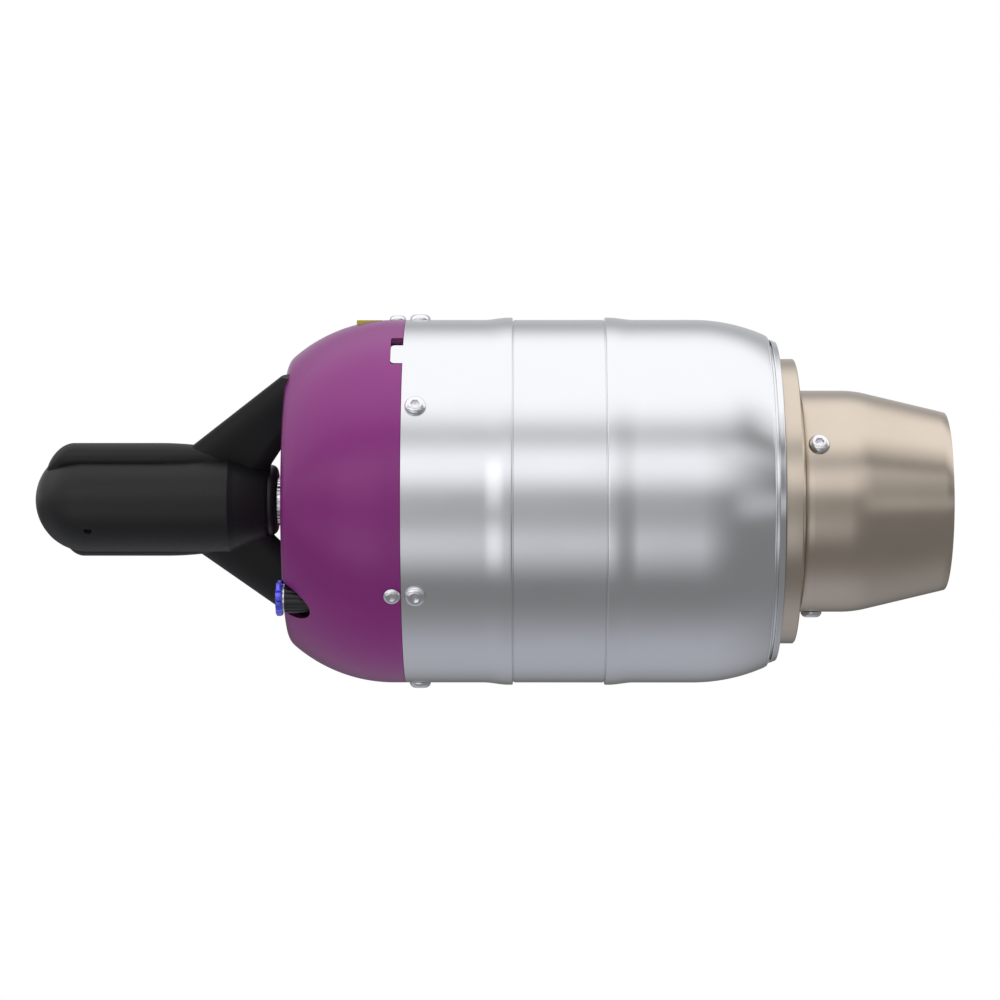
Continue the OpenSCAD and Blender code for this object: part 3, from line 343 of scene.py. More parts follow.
def pin(radius, x0, x1, centre, angle, steps=64):
    """Solid rod along the engine axis whose own axis lies at a radius and angle."""
    turn = -full_turn(steps)
    return capped([about_axis(circle(x, radius, turn, centre), angle) for x in (x0, x1)])


def punch(name, flat, angle, low, high):
    """Cutter with a flat (x, y) outline that stands on the engine axis at an angle, between two
    radii."""
    rings = [about_axis([(x, y, z) for x, y in flat], angle) for z in (low, high)]
    return as_object(name, *capped(rings))


# ------------------------------------------------------------------------------------- materials

def add(tree, kind, inputs=None, **settings):
    """Adds a shader node with its settings, and fills or links its inputs."""
    node = tree.nodes.new("ShaderNode" + kind)
    for name, value in settings.items():
        setattr(node, name, value)
    for name, value in (inputs or {}).items():
        if isinstance(value, bpy.types.NodeSocket):
            tree.links.new(value, node.inputs[name])
        else:
            node.inputs[name].default_value = value
    return node


def surface(name, base, metallic, roughness, **sockets):
    """New material with a Principled shader, and its node tree and shader."""
    material = bpy.data.materials.new(name)
    material.use_nodes = True
    tree = material.node_tree
    tree.nodes.clear()
    shader = add(tree, "BsdfPrincipled", {"Base Color": (*base, 1), "Metallic": metallic,
                                          "Roughness": roughness,
                                          **{k.replace("_", " "): v for k, v in sockets.items()}})
    add(tree, "OutputMaterial", {"Surface": shader.outputs[0]})
    material.diffuse_color = (*base, 1)
    material.metallic, material.roughness = metallic, roughness
    return material, tree, shader


def pattern(tree, size, low=0.0, high=1.0, stretch=(1, 1, 1), detail=2.0):
    """Noise of a feature size in mm, stretched along X, Y and Z, as values from low to high."""
    place = add(tree, "TexCoord").outputs["Object"]
    scaled = add(tree, "VectorMath", {0: place, 1: [1000 / (size * s) for s in stretch]},
                 operation="MULTIPLY").outputs[0]
    noise = add(tree, "TexNoise", {"Vector": scaled, "Scale": 1.0, "Detail": detail})
    return add(tree, "MapRange", {"Value": noise.outputs[0], "From Min": 0.2, "From Max": 0.8,
                                  "To Min": low, "To Max": high}, clamp=False).outputs[0]


def shaded(tree, shader, base, factor, darker, lighter):
    """Lets a pattern (0 to 1) move the base colour between two multiples of itself."""
    low = [min(1, c * darker) for c in base]
    high = [min(1, c * lighter) for c in base]
    mix = add(tree, "Mix", {0: factor, 6: (*low, 1), 7: (*high, 1)}, data_type="RGBA")
    tree.links.new(mix.outputs[2], shader.inputs["Base Color"])


def textured(name, base, metallic, roughness, gloss, relief=None, tone=None, **sockets):
    """Material with uneven roughness, and with fine relief and uneven colour where they are given.
    gloss holds the pattern of the roughness. relief holds a height in mm, a strength and its
    pattern, and tone the darkest and palest multiple of the base colour and its pattern."""
    material, tree, shader = surface(name, base, metallic, roughness, **sockets)
    tree.links.new(pattern(tree, **gloss), shader.inputs["Roughness"])
    if relief:
        height, strength, noise = relief
        bump = add(tree, "Bump", {"Height": pattern(tree, **noise), "Strength": strength,
                                  "Distance": height / 1000})
        tree.links.new(bump.outputs[0], shader.inputs["Normal"])
    if tone:
        darker, paler, noise = tone
        shaded(tree, shader, base, pattern(tree, **noise), darker, paler)
    return material


def drawn_stainless(colours):
    """Stainless sheet, deep drawn and satin polished on the spin: soft reflections, and fine
    rings round the axis, drawn as coarse as they need to be to show."""
    return textured("drawn_stainless", colours.steel, 1.0, 0.2,
                    gloss=dict(size=9, low=0.17, high=0.23, stretch=(1.5, 1, 1)),
                    relief=(0.0006, 0.4, dict(size=0.18, stretch=(1, 60, 60), detail=3)))


def polished_stainless(colours):
    """The case's rolled bead, left bright by the forming roller: sharp, narrow reflections."""
    return textured("polished_stainless", colours.steel, 1.0, 0.12,
                    gloss=dict(size=4, low=0.09, high=0.16))


def tempered_stainless(colours):
    """Turned stainless, straw coloured by the heat of the first runs, a little uneven."""
    return textured("tempered_stainless", colours.straw, 1.0, 0.24,
                    gloss=dict(size=7, low=0.21, high=0.27),
                    relief=(0.0006, 0.4, dict(size=0.2, stretch=(1, 60, 60), detail=3)),
                    tone=(0.95, 1.03, dict(size=16, detail=3)))


def screw_stainless(colours):
    """Cold-headed stainless screws, tumbled: bright, a little duller in patches."""
    return textured("screw_stainless", colours.screw, 1.0, 0.16,
                    gloss=dict(size=1.2, low=0.1, high=0.22), relief=(0.001, 0.5, dict(size=0.5)))


def purple_anodised(colours):
    """Aluminium, bead blasted, dyed in its oxide and sealed: a soft deep colour, with a clear
    sheen over it that turns pale where the surface leans away."""
    return textured("purple_anodised_aluminium", colours.purple, 0.2, 0.45,
                    gloss=dict(size=0.8, low=0.42, high=0.48, detail=1),
                    relief=(0.003, 0.3, dict(size=0.3, detail=1)),
                    tone=(0.97, 1.03, dict(size=20)),
                    Specular_IOR_Level=0.05, Coat_Weight=0.72, Coat_Roughness=0.24, Coat_IOR=1.5)


def machined_aluminium(colours):
    """Turned and milled aluminium: fine tool rings about the axis that spread its reflections."""
    return textured("machined_aluminium", colours.aluminium, 1.0, 0.32,
                    gloss=dict(size=3, low=0.27, high=0.38),
                    relief=(0.003, 0.6, dict(size=0.25, stretch=(1, 40, 40))))


def moulded_nylon(colours):
    """Black glass-filled nylon from a satin mould: a soft sheen over fine erosion grain."""
    return textured("moulded_nylon", colours.nylon, 0.0, 0.4,
                    gloss=dict(size=1.5, low=0.37, high=0.44),
                    relief=(0.004, 0.4, dict(size=0.3)), Specular_IOR_Level=0.34)


def glossy_plastic(name, base, roughness, metallic=0.0):
    """Small injection-moulded part from a polished mould, with pearl pigment where it has any
    metallic: clear highlights on an even colour."""
    return textured(name, base, metallic, roughness,
                    gloss=dict(size=1.0, low=roughness * 0.85, high=roughness * 1.15),
                    tone=(0.94, 1.05, dict(size=2.5)), Coat_Weight=metallic)


def plain_metal(name, base, roughness, grain=0.4):
    """Inner metal part: cast, rolled or turned, with a grain of the given size in mm."""
    return textured(name, base, 1.0, roughness,
                    gloss=dict(size=2, low=roughness * 0.85, high=min(1, roughness * 1.2)),
                    relief=(grain * 0.02, 0.6, dict(size=grain)),
                    tone=(0.9, 1.06, dict(size=5, detail=3)))


def solder_resist(colours):
    """Glass-epoxy board under green resist, with its copper tracks just showing."""
    material, tree, shader = surface("solder_resist", colours.laminate, 0.0, 0.35)
    place = add(tree, "TexCoord").outputs["Object"]
    tracks = add(tree, "TexBrick", {"Vector": place, "Scale": 300.0, "Mortar Size": 0.04,
                                    "Color1": (0, 0, 0, 1), "Color2": (0, 0, 0, 1),
                                    "Mortar": (1, 1, 1, 1)})
    shaded(tree, shader, colours.laminate, tracks.outputs["Color"], 1.0, 1.5)
    return material


# ---------------------------------------------------------------------------------------- pieces

class TurbojetPiece:
    """What the operators share: sizes in mm and colours. A piece that can't be built raises."""
    bl_options = {"REGISTER", "UNDO"}

    def execute(self, context):
        self.size = millimetres(context.scene.turbojet_sizes)
        self.steps = context.scene.turbojet_sizes.steps
        self.colours = context.scene.turbojet_colours
        self.build(context)
        return {"FINISHED"}


class TURBOJET_OT_case(TurbojetPiece, bpy.types.Operator):
    """Drawn steel case with the shoulders of its strap seat, and its polished rear bead"""
    bl_idname = "turbojet.case"
    bl_label = "Case"

    def outline(self, depth):
        """The case's line at a depth under its surface, up to the seam before the bead."""
        s, r = self.size, CASE_R - depth
        shoulder_x, foot_x = SEAT_W / 2 + s["shoulder_fade"], SEAT_W / 2 - 1.05 * s["seat_groove"]
        shoulder = self.shoulder(r, depth)
        drop = CASE_R - s["dome"]
        corner_x = CASE_X1 - s["dome_corner"]
        dx = math.sqrt((s["dome"] - s["dome_corner"]) ** 2 - (s["dome_end"] - drop) ** 2)
        turn = math.degrees(math.atan2(dx, s["dome_end"] - drop))
        centre = (corner_x, s["dome_end"])
        edge_x = CASE_X1 - s["bead"] - s["bead_seam"] / 2
        seam = math.degrees(math.asin((edge_x - corner_x) / s["dome_corner"]))
        return (polyline([(TONGUE_X, r), (-shoulder_x, r)])[:-1] + shoulder
                + straight((-foot_x, r), (foot_x, r))[1:]
                + [(-x, y) for x, y in reversed(shoulder)]
                + straight((shoulder_x, r), (corner_x - dx, r))[1:]
                + arc((corner_x - dx, drop), s["dome"] - depth, 0, turn, 40)
                + arc(centre, s["dome_corner"] - depth, turn, seam - 9, 5)[1:]
                + self.rolled_edge(centre, seam, depth))

    def shoulder(self, r, depth):
        """Front shoulder: a soft rise to its crest, then a rounded edge and the foot's groove."""
        fade, up, groove = (self.size[k] for k in ("shoulder_fade", "shoulder", "seat_groove"))
        seat_x, crest = -SEAT_W / 2, 1.15
        line = [(seat_x - fade + (fade - crest) * t, r + up * (1 - math.cos(math.pi * t)) / 2)
                for t in np.linspace(0, 1, 25)]
        if depth:
            return line + [(seat_x - 0.15, r + up), (seat_x + 0.15, r)]
        line += [(seat_x - 0.28, r + up), (seat_x - 0.16, r + up - 0.03),
                 (seat_x - 0.06, r + up - 0.12), (seat_x - 0.02, r + up - 0.25)]
        return line + [(seat_x + share * groove, r - deep) for share, deep in (
            (0, 0.1), (0.25, 0.2), (0.625, 0.2), (0.9, 0.08), (1.05, 0))]

    def rolled_edge(self, centre, seam, depth):
        """The sheet's rear edge: a fine groove, then a narrow bright roll down into the seam."""
        r = self.size["dome_corner"] - depth
        if depth:
            return arc(centre, r, seam - 8, seam, 2)
        line = []
        for turn, down in ((8.6, 0.1), (8, 0.16), (7.2, 0.1), (6.4, 0.02), (5, 0), (3.6, 0.02),
                           (2.2, 0.08), (1.0, 0.2), (0.4, 0.34), (0, 0.55)):
            line += arc(centre, r - down, seam - turn, seam, 1)[:1]
        return line

    def build(self, context):
        made = as_object("case_shell", *shell(self.outline, self.size["case_wall"], self.steps))
        # The front edge is cut back, apart from the tongue that sets the cover's angle
        sweep = np.linspace(TONGUE[1], 360 + TONGUE[0], 180)
        flat = [(TONGUE_X - 2, CASE_R - 3), (TONGUE_X - 2, CASE_R + 3),
                (CASE_X0, CASE_R + 3), (CASE_X0, CASE_R - 3)]
        rings = [about_axis([(x, 0, r) for x, r in flat], a) for a in sweep]
        cut(made, as_object("case_front_cut", *capped(rings)), *self.tongue_corners())
        fit(made, "engine", "case_steel", drawn_stainless(self.colours), "outer_case")
        fit(as_object("case_bead", *lathe(self.bead(), self.steps)), "engine", "case_steel",
            polished_stainless(self.colours), "outer_case")

    def bead(self):
        """Polished band that leans back from the seam and rounds into the case's rear wall, with
        the wall's inner side and the floor of the seam."""
        s = self.size
        x, r = CASE_X1 - s["bead"] + s["bead_seam"] / 2 + 0.05, s["dome_end"] + 3.6
        back, hole = CASE_X1 - 0.06, reach("turbine_housing", 1, 1) - 2.4
        wall_x, floor_x = back - s["case_wall"], x - 1.3
        line = [(x, r - 0.08), (x + 0.06, r), (x + 0.2, r)]
        line += straight((x + 0.2, r), (CASE_X1 - 0.1, r - 0.54), 0.2)[1:]
        line += arc((CASE_X1 - 0.2, r - 0.82), 0.33, 24, 90, 5) + [(CASE_X1 + 0.13, r - 1.3)]
        return line + polyline([(back, r - 1.5), (back, hole), (wall_x, hole), (wall_x, r - 2.6),
                                (floor_x, r - 2), (floor_x, r - 1.6), (x, r - 1.55)], 0.8)

    def tongue_corners(self):
        """Cutters that round the two corners of the tongue."""
        r, out = self.size["tongue_corner"], 0.4
        for angle, side in ((TONGUE[0], 1), (TONGUE[1], -1)):
            flat = [(-out, -out), (r, -out), *arc((r, r), r, 180, 270, 8), (-out, r)]
            flat = [(TONGUE_X + x, -side * y) for x, y in flat]
            yield punch("tongue_corner_cut", flat, angle, CASE_R - 3, CASE_R + 3)


class TURBOJET_OT_cover(TurbojetPiece, bpy.types.Operator):
    """Anodised intake cover with its rolled bellmouth, notch and openings"""
    bl_idname = "turbojet.cover"
    bl_label = "Intake cover"

    def outline(self, depth):
        """The cover's line at a depth under its surface, from its rear edge into the throat."""
        s = self.size
        bell = s["lip"] - s["throat"]
        corner_x = LIP_X + s["lip_corner"]
        low = CASE_R - s["cover_curve"]
        dx = math.sqrt((s["cover_curve"] - s["lip_corner"]) ** 2 - (s["lip"] - low) ** 2)
        turn = math.degrees(math.atan2(dx, s["lip"] - low))
        back = CASE_X0 - 0.05
        edge = [(back, CASE_R - 0.15), (back - 0.15, CASE_R)]
        if depth:
            edge = [(back - 0.05, CASE_R - depth)]
        return (edge + straight((back - 0.3, CASE_R - depth), (corner_x + dx, CASE_R - depth))[1:]
                + arc((corner_x + dx, low), s["cover_curve"] - depth, 0, -turn, 50)
                + arc((corner_x, s["lip"]), s["lip_corner"] - depth, -turn, -90, 20)[1:]
                + arc((LIP_X + bell, s["lip"]), bell - depth, -90, -180, 36)[1:]
                + [(LIP_X + bell + 1.5, s["throat"] + depth)])

    def build(self, context):
        made = as_object("cover_shell", *shell(self.outline, self.size["cover_wall"], self.steps))
        cut(made, self.notch(), self.fitting_hole(), self.socket_slot())
        fit(made, "engine", "purple_anodised", purple_anodised(self.colours), "intake_cover")

    def notch(self):
        """Rounded notch that the case's tongue lies in."""
        (first, last), corner = NOTCH, 0.8
        half = CASE_R * math.sin(math.radians(last - first)) / 2
        x0, x1 = TONGUE_X - 0.1, CASE_X0 + 2
        flat = [(x1, -half), (x1, half), *arc((x0 + corner, half - corner), corner, 0, -90, 8),
                *arc((x0 + corner, corner - half), corner, -90, -180, 8)]
        return punch("notch_cut", flat, (first + last) / 2, CASE_R - 6, CASE_R + 6)

    def fitting_hole(self):
        """Round hole that the fuel fitting stands in."""
        place, angle = fitting_place()
        return as_object("hole_cut", *pin(5.3, LIP_X - 5, LIP_X + 16, place, angle))

    def socket_slot(self):
        """Slot for the power socket's upper part, which ends at its own rear station."""
        lo, hi = (v * 1000 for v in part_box("power_socket"))
        gap, top_length = 0.15, 7.1
        x0, x1 = lo.x - gap, lo.x + top_length + gap
        y0, y1 = lo.y - gap, hi.y + gap
        flat = [(x0, y0), (x1, y0), (x1, y1), (x0, y1)]
        return punch("slot_cut", flat, 0, CASE_R - 9, CASE_R + 3)


def fitting_place():
    """Radius and angle of the fuel fitting's axis, from its CAD node."""
    lo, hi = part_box("release_collar")
    y, z = (lo.y + hi.y) * 500, (lo.z + hi.z) * 500
    return math.hypot(y, z), math.degrees(math.atan2(-y, z))


class TURBOJET_OT_starter(TurbojetPiece, bpy.types.Operator):
    """Moulded starter pod with its wire ducts and struts, and the bright clutch drum"""
    bl_idname = "turbojet.starter"
    bl_label = "Starter"

    def build(self, context):
        struts = (self.strut(UPPER, TAIL_X - 1.7, TAIL_X + 1.9, 18, 3.16),
                  self.strut(LOWER, TAIL_X - 1.9, TAIL_X + 3.2, 17.53, 2.57))
        made = as_object("starter_pod", *joined(self.pod(), *struts), sharp=38)
        fit(made, "engine", "black_moulding", moulded_nylon(self.colours), "starter_housing")
        drum = as_object("clutch_drum_knurled", *self.drum(), sharp=25)
        fit(drum, "clutch", "drum_steel", screw_stainless(self.colours), "clutch_drum")

    def pod_line(self):
        """The pod's line without its ducts: round nose, cylinder, cone, rim and bore. Stations
        lie closer together beside the vent."""
        r, centre = self.size["pod"], NOSE_X + self.size["pod"]
        rim, crest, bore, bore_x = 1.9, 7.6, 6.95, TAIL_X - 4.4
        line = arc((centre, 0), r, -90, 0, 44)
        line += straight((centre, r), (CONE_X - 0.3, r), 0.9)[1:]
        line = [point for point in line if abs(point[0] - VENT_X) > 1.5]
        line += [(x, r) for x in np.arange(VENT_X - 1.45, VENT_X + 1.5, 0.12)]
        line.sort()
        line += arc((CONE_X - 0.15, r - 0.5), 0.5, 0, 30, 3)
        line += straight((CONE_X + 0.3, r - 0.3), (TAIL_X - rim, crest + rim), 0.8)[1:]
        line += arc((TAIL_X - rim, crest), rim, -15, 90, 14)
        return line + [(TAIL_X, bore + 0.15), (TAIL_X - 0.1, bore), (bore_x, bore), (bore_x, 0)]

    def pod_angles(self):
        """Angles of the pod's points, closer together at the ducts' edges and at the vent."""
        near = np.concatenate([np.arange(-16.5, -4, 0.22), np.arange(-4, 4, 0.5),
                               np.arange(4, 16.5, 0.22)])
        return np.sort(np.concatenate([UPPER + near, LOWER + near, np.arange(50, 120, 2.0),
                                       np.arange(120, 133, 0.5), np.arange(133, 196, 2.0),
                                       np.arange(230, 376, 2.0)]))

    def pod(self):
        """Pod skin: its line turned about the axis, over the ducts and into the vent, and lifted
        a little apart from its bore."""
        centre, bore = NOSE_X + self.size["pod"], 7.1
        turn = self.pod_angles()
        angle = np.radians(turn)
        rings = []
        for x, base in self.pod_line():
            own = np.full(len(turn), float(base))
            if x < CONE_X + 0.4 and base > 5:
                own = self.with_ducts(x, own, turn)
            own = own - self.vent(x, turn)
            lift = self.size["pod_lift"]
            if x > centre:
                lift *= min(1.0, max(0.0, (base - bore) / 0.4))
            rings.append(circle(x, own, angle, lift))
        return skin(rings)

    def vent(self, x, turn):
        """Depth of the vent, a small dimple that is shallower in its upper half."""
        radius, depth, edge = 1.1, 1.1, 0.18
        away = np.hypot(x - VENT_X, np.radians(turn - VENT_TURN) * self.size["pod"])
        low = np.clip((turn - VENT_TURN) / 4 + 0.6, 0.15, 1)
        return depth * low * np.clip((radius - away) / edge, 0, 1)

    def with_ducts(self, x, base, turn):
        """Radii of the pod at a station, larger over the two ducts, which start one after the
        other and rise out of the round nose."""
        centre = NOSE_X + self.size["pod"]
        own = base
        for angle, start, nose in ((UPPER, centre - 10, 7.5), (LOWER, centre - 7, 5.2)):
            if x > start:
                own = np.maximum(own, self.duct(x, base, turn, angle, start, nose))
        return own

    def duct(self, x, base, turn, angle, start, nose):
        """Radii of the pod with one duct blended in: a round rod that lies half in the pod, grows
        over the length of its nose and gets thinner towards the cone."""
        s = self.size
        short = 1 - min(1.0, (x - start) / nose)
        root = math.sqrt(s["pod"] ** 2 - (NOSE_X + s["pod"] - start) ** 2)
        middle = s["pod"] - (s["pod"] - root) * short ** 2
        taper_x, fade, taper = FRONT_X - 33.6, 18, 1.8
        rod = s["duct"] * math.sqrt(1 - short ** 2) - taper * max(0.0, (x - taper_x) / fade) ** 2
        off = np.radians(abs((turn - angle + 180) % 360 - 180))
        under = rod ** 2 - (middle * np.sin(off)) ** 2
        over = np.where(under > 0, middle * np.cos(off) + np.sqrt(np.maximum(under, 0)),
                        middle * np.cos(off) - 40 * np.sqrt(np.maximum(-under, 0)))
        over = np.where(off > math.radians(30), 0, over)
        soft = s["duct_blend"] * (1 + 3 * short)
        return (base + over + np.sqrt((base - over) ** 2 + soft ** 2)) / 2

    def cover_front(self, r):
        """Station of the cover's front at a radius, on its bellmouth or its outer corner."""
        s = self.size
        curve = s["lip_corner"] if r > s["lip"] else s["lip"] - s["throat"]
        return LIP_X + curve - math.sqrt(curve ** 2 - (r - s["lip"]) ** 2)

    def strut(self, angle, foot, knee, root, tip):
        """Blade with a round leading edge and a thin trailing edge. The leading edge runs from its
        radius at the root to one outside the lip, the trailing edge from its station at the foot
        over one a little further out to the cover."""
        s = self.size
        half, foot_r, knee_r, tip_r = s["strut"] / 2, 11.0, 17.0, s["lip"] - 10.9
        root_x, end_r = FRONT_X - 23.75, s["lip"] + tip
        lead = (FRONT_X - 0.2 - root_x) / (end_r - root)
        cos_lead, cos_trail = 1 / math.hypot(1, lead), 0.8
        lead_round, trail_round = 6, 9
        trail = ((foot_r, knee_r, tip_r), (foot, knee, self.cover_front(tip_r) - 0.35))
        spots = (1 - np.cos(np.linspace(0, math.pi, 41))) / 2
        rings = []
        for r in np.concatenate([np.linspace(9, tip_r, 18), np.linspace(tip_r + 0.6, end_r, 18)]):
            x0 = root_x + (r - root) * lead
            x1 = np.interp(r, *trail) if r <= tip_r else self.cover_front(r) + 0.6
            x = x0 + (x1 - x0) * spots
            h = half * np.sqrt(1 - np.clip(1 - (x - x0) * cos_lead / lead_round, 0, 1) ** 2)
            if r <= tip_r:
                thin = 1 - np.clip(1 - (x1 - x) * cos_trail / trail_round, 0, 1) ** 2
                h = np.minimum(h, 1.2 * half * np.sqrt(thin))
            near = [(a, b, r) for a, b in zip(x, h)]
            far = [(a, -b, r) for a, b in zip(x[::-1], h[::-1])]
            rings.append(about_axis(near + far, angle) + (0, 0, s["pod_lift"]))
        return capped(rings)

    def drum(self):
        """Clutch drum with fine straight grooves, open towards the compressor nut. A ring's
        last value is the share of the grooves that it shows."""
        lo, hi = reach("clutch_drum", 0, 0), reach("clutch_drum", 0, 1)
        r = reach("clutch_drum", 1, 1)
        grooves, turn = 36, full_turn(720)
        wave = np.where(np.cos(turn * grooves) < -0.35, -0.55, 0.12)
        line = [(lo, 0, 0), (lo, r - 0.5, 0), (lo + 0.4, r, 0), (lo + 1.2, r, 0),
                (lo + 1.4, r - 0.15, 1), (hi - 0.5, r - 0.15, 1), (hi - 0.4, r, 0),
                (hi, r - 0.3, 0), (hi, 5.2, 0), (lo + 4, 5.1, 0), (lo + 4, 1.55, 0), (lo + 4, 0, 0)]
        return skin([circle(x, q + share * wave, turn) for x, q, share in line])


class TURBOJET_OT_exhaust(TurbojetPiece, bpy.types.Operator):
    """Turbine housing with its flange, and the tapered exhaust nozzle"""
    bl_idname = "turbojet.exhaust"
    bl_label = "Exhaust"

    def build(self, context):
        steel = tempered_stainless(self.colours)
        self.lip = reach("exhaust_nozzle", 0, 0) + 1.0
        housing = as_object("turbine_housing_shell", *lathe(self.housing(), self.steps))
        fit(housing, "engine", "tan_steel", steel, "turbine_housing")
        wall = self.size["nozzle_wall"]
        nozzle = as_object("nozzle_shell", *shell(self.nozzle, wall, self.steps))
        fit(nozzle, "engine", "tan_steel", steel, "exhaust_nozzle")

    def housing(self):
        """Closed line of the housing: a sleeve inside the case and the nozzle, with its flange
        between them and a slot behind the flange, up to the nozzle's lip."""
        x0, x9 = reach("turbine_housing", 0, 0), reach("turbine_housing", 0, 1)
        flange, round_edge = reach("turbine_housing", 1, 1), 0.25
        body = reach("exhaust_nozzle", 1, 1) - self.size["nozzle_wall"] - 0.05
        step_x, step = CASE_X1 - 1.9, flange - 2.5
        front, back = CASE_X1 + 0.5, reach("exhaust_nozzle", 0, 0) - 0.35
        slot, edge = body - 1.05, self.size["flange_chamfer"]
        line = polyline([(x0, body - 1.3), (x0, body), (step_x, body), (step_x, step),
                         (front, step), (front, flange - round_edge)])[:-1]
        line += arc((front + round_edge, flange - round_edge), round_edge, -90, 0, 5)
        line += straight((front + 0.3, flange), (back - edge, flange))[1:]
        return line + polyline([(back - edge, flange), (back, flange - edge), (back, slot),
                                (self.lip, slot), (self.lip, body), (x9, body), (x9, body - 1.25)])

    def nozzle(self, depth):
        """The nozzle's line at a depth under its surface: cylinder, soft bend and cone."""
        r, exit_r = reach("exhaust_nozzle", 1, 1), self.size["nozzle_exit"]
        bend_x, bend_r = 79.4, 29
        end_x = reach("exhaust_nozzle", 0, 1)
        tilt = math.degrees(math.atan2(r - exit_r, end_x - bend_x))
        start_x = bend_x - bend_r * math.tan(math.radians(tilt / 2))
        first, end = [(self.lip, r - depth)], [(end_x, exit_r - depth)]
        if not depth:
            first = [(self.lip, r - 0.2), (self.lip + 0.06, r - 0.06), (self.lip + 0.2, r)]
            end = [(end_x - 0.15, exit_r + 0.03), (end_x, exit_r - 0.12)]
        bend = arc((start_x, r - bend_r), bend_r - depth, 0, tilt, 16)
        return (first + straight((self.lip + 0.4, r - depth), bend[0])[1:] + bend
                + straight(bend[-1], end[0])[1:] + end)


class TURBOJET_OT_screws(TurbojetPiece, bpy.types.Operator):
    """Button-head screws of the cover, case and nozzle"""
    bl_idname = "turbojet.screws"
    bl_label = "Screws"

    def head(self, diameter, steps=60):
        """Button head with a hexagon socket, its seat at z 0 and its axis up."""
        height, flat, low = diameter * 0.267, diameter * 0.27, diameter * 0.04
        steepest, turn = 0.97, full_turn(steps)
        hexagon = diameter * 0.175 / np.cos(turn % (math.pi / 3) - math.pi / 6)

        def at_height(r):
            """Nearly flat round the socket, then ever steeper down to the rim."""
            out = np.clip((r - flat) / (diameter / 2 - flat), 0, 1) * steepest
            fall = (1 - np.sqrt(1 - out ** 2)) / (1 - math.sqrt(1 - steepest ** 2))
            crown = 0.05 * (r / flat) ** 2
            return height - crown - (height - low - crown) * fall

        def ring(r, z):
            """Points at a radius and height, or at one of each for every angle."""
            r, z = np.broadcast_to(r, steps), np.broadcast_to(z, steps)
            return np.stack([r * np.cos(turn), r * np.sin(turn), z], -1)

        rings = [ring(0.0, height * 0.25), ring(hexagon * 0.5, height * 0.36),
                 ring(hexagon, height * 0.4), ring(hexagon, at_height(hexagon) - 0.08),
                 ring(hexagon + 0.07, at_height(hexagon + 0.07))]
        for t in np.linspace(0.12, 1, 18) ** 0.8:
            r = (hexagon + 0.07) * (1 - t) + diameter / 2 * t
            rings.append(ring(r, at_height(r)))
        rings += [ring(diameter / 2, 0.06), ring(diameter / 2 - 0.06, 0.0),
                  ring(diameter / 4, 0.0), ring(0.0, 0.0)]
        return skin(rings)

    def build(self, context):
        steel = screw_stainless(self.colours)
        for node, size, angles in (
                ("cover_screws", "m25_head", (0, 120, 240)),
                ("case_screws", "m3_head", (0, 60, 120, 180, 240, 300)),
                ("nozzle_screws", "m3_head", (60, 180, 300))):
            diameter = self.size[size]
            x = (reach(node, 0, 0) + reach(node, 0, 1)) / 2
            seat = reach("exhaust_nozzle", 1, 1) if node == "nozzle_screws" else CASE_R
            points, faces = self.head(diameter)
            parts = []
            for k, angle in enumerate(angles):
                # Each head stopped at its own turn, apart from the first two of a row
                spin = np.array(Matrix.Rotation(math.radians(37 * k * (k - 1)), 3, "Z"))
                parts.append((about_axis(points @ spin.T + (x, 0, seat), angle), faces))
            made = as_object(node + "_heads", *joined(*parts), sharp=28)
            fit(made, "engine", "screw_steel", steel, node)


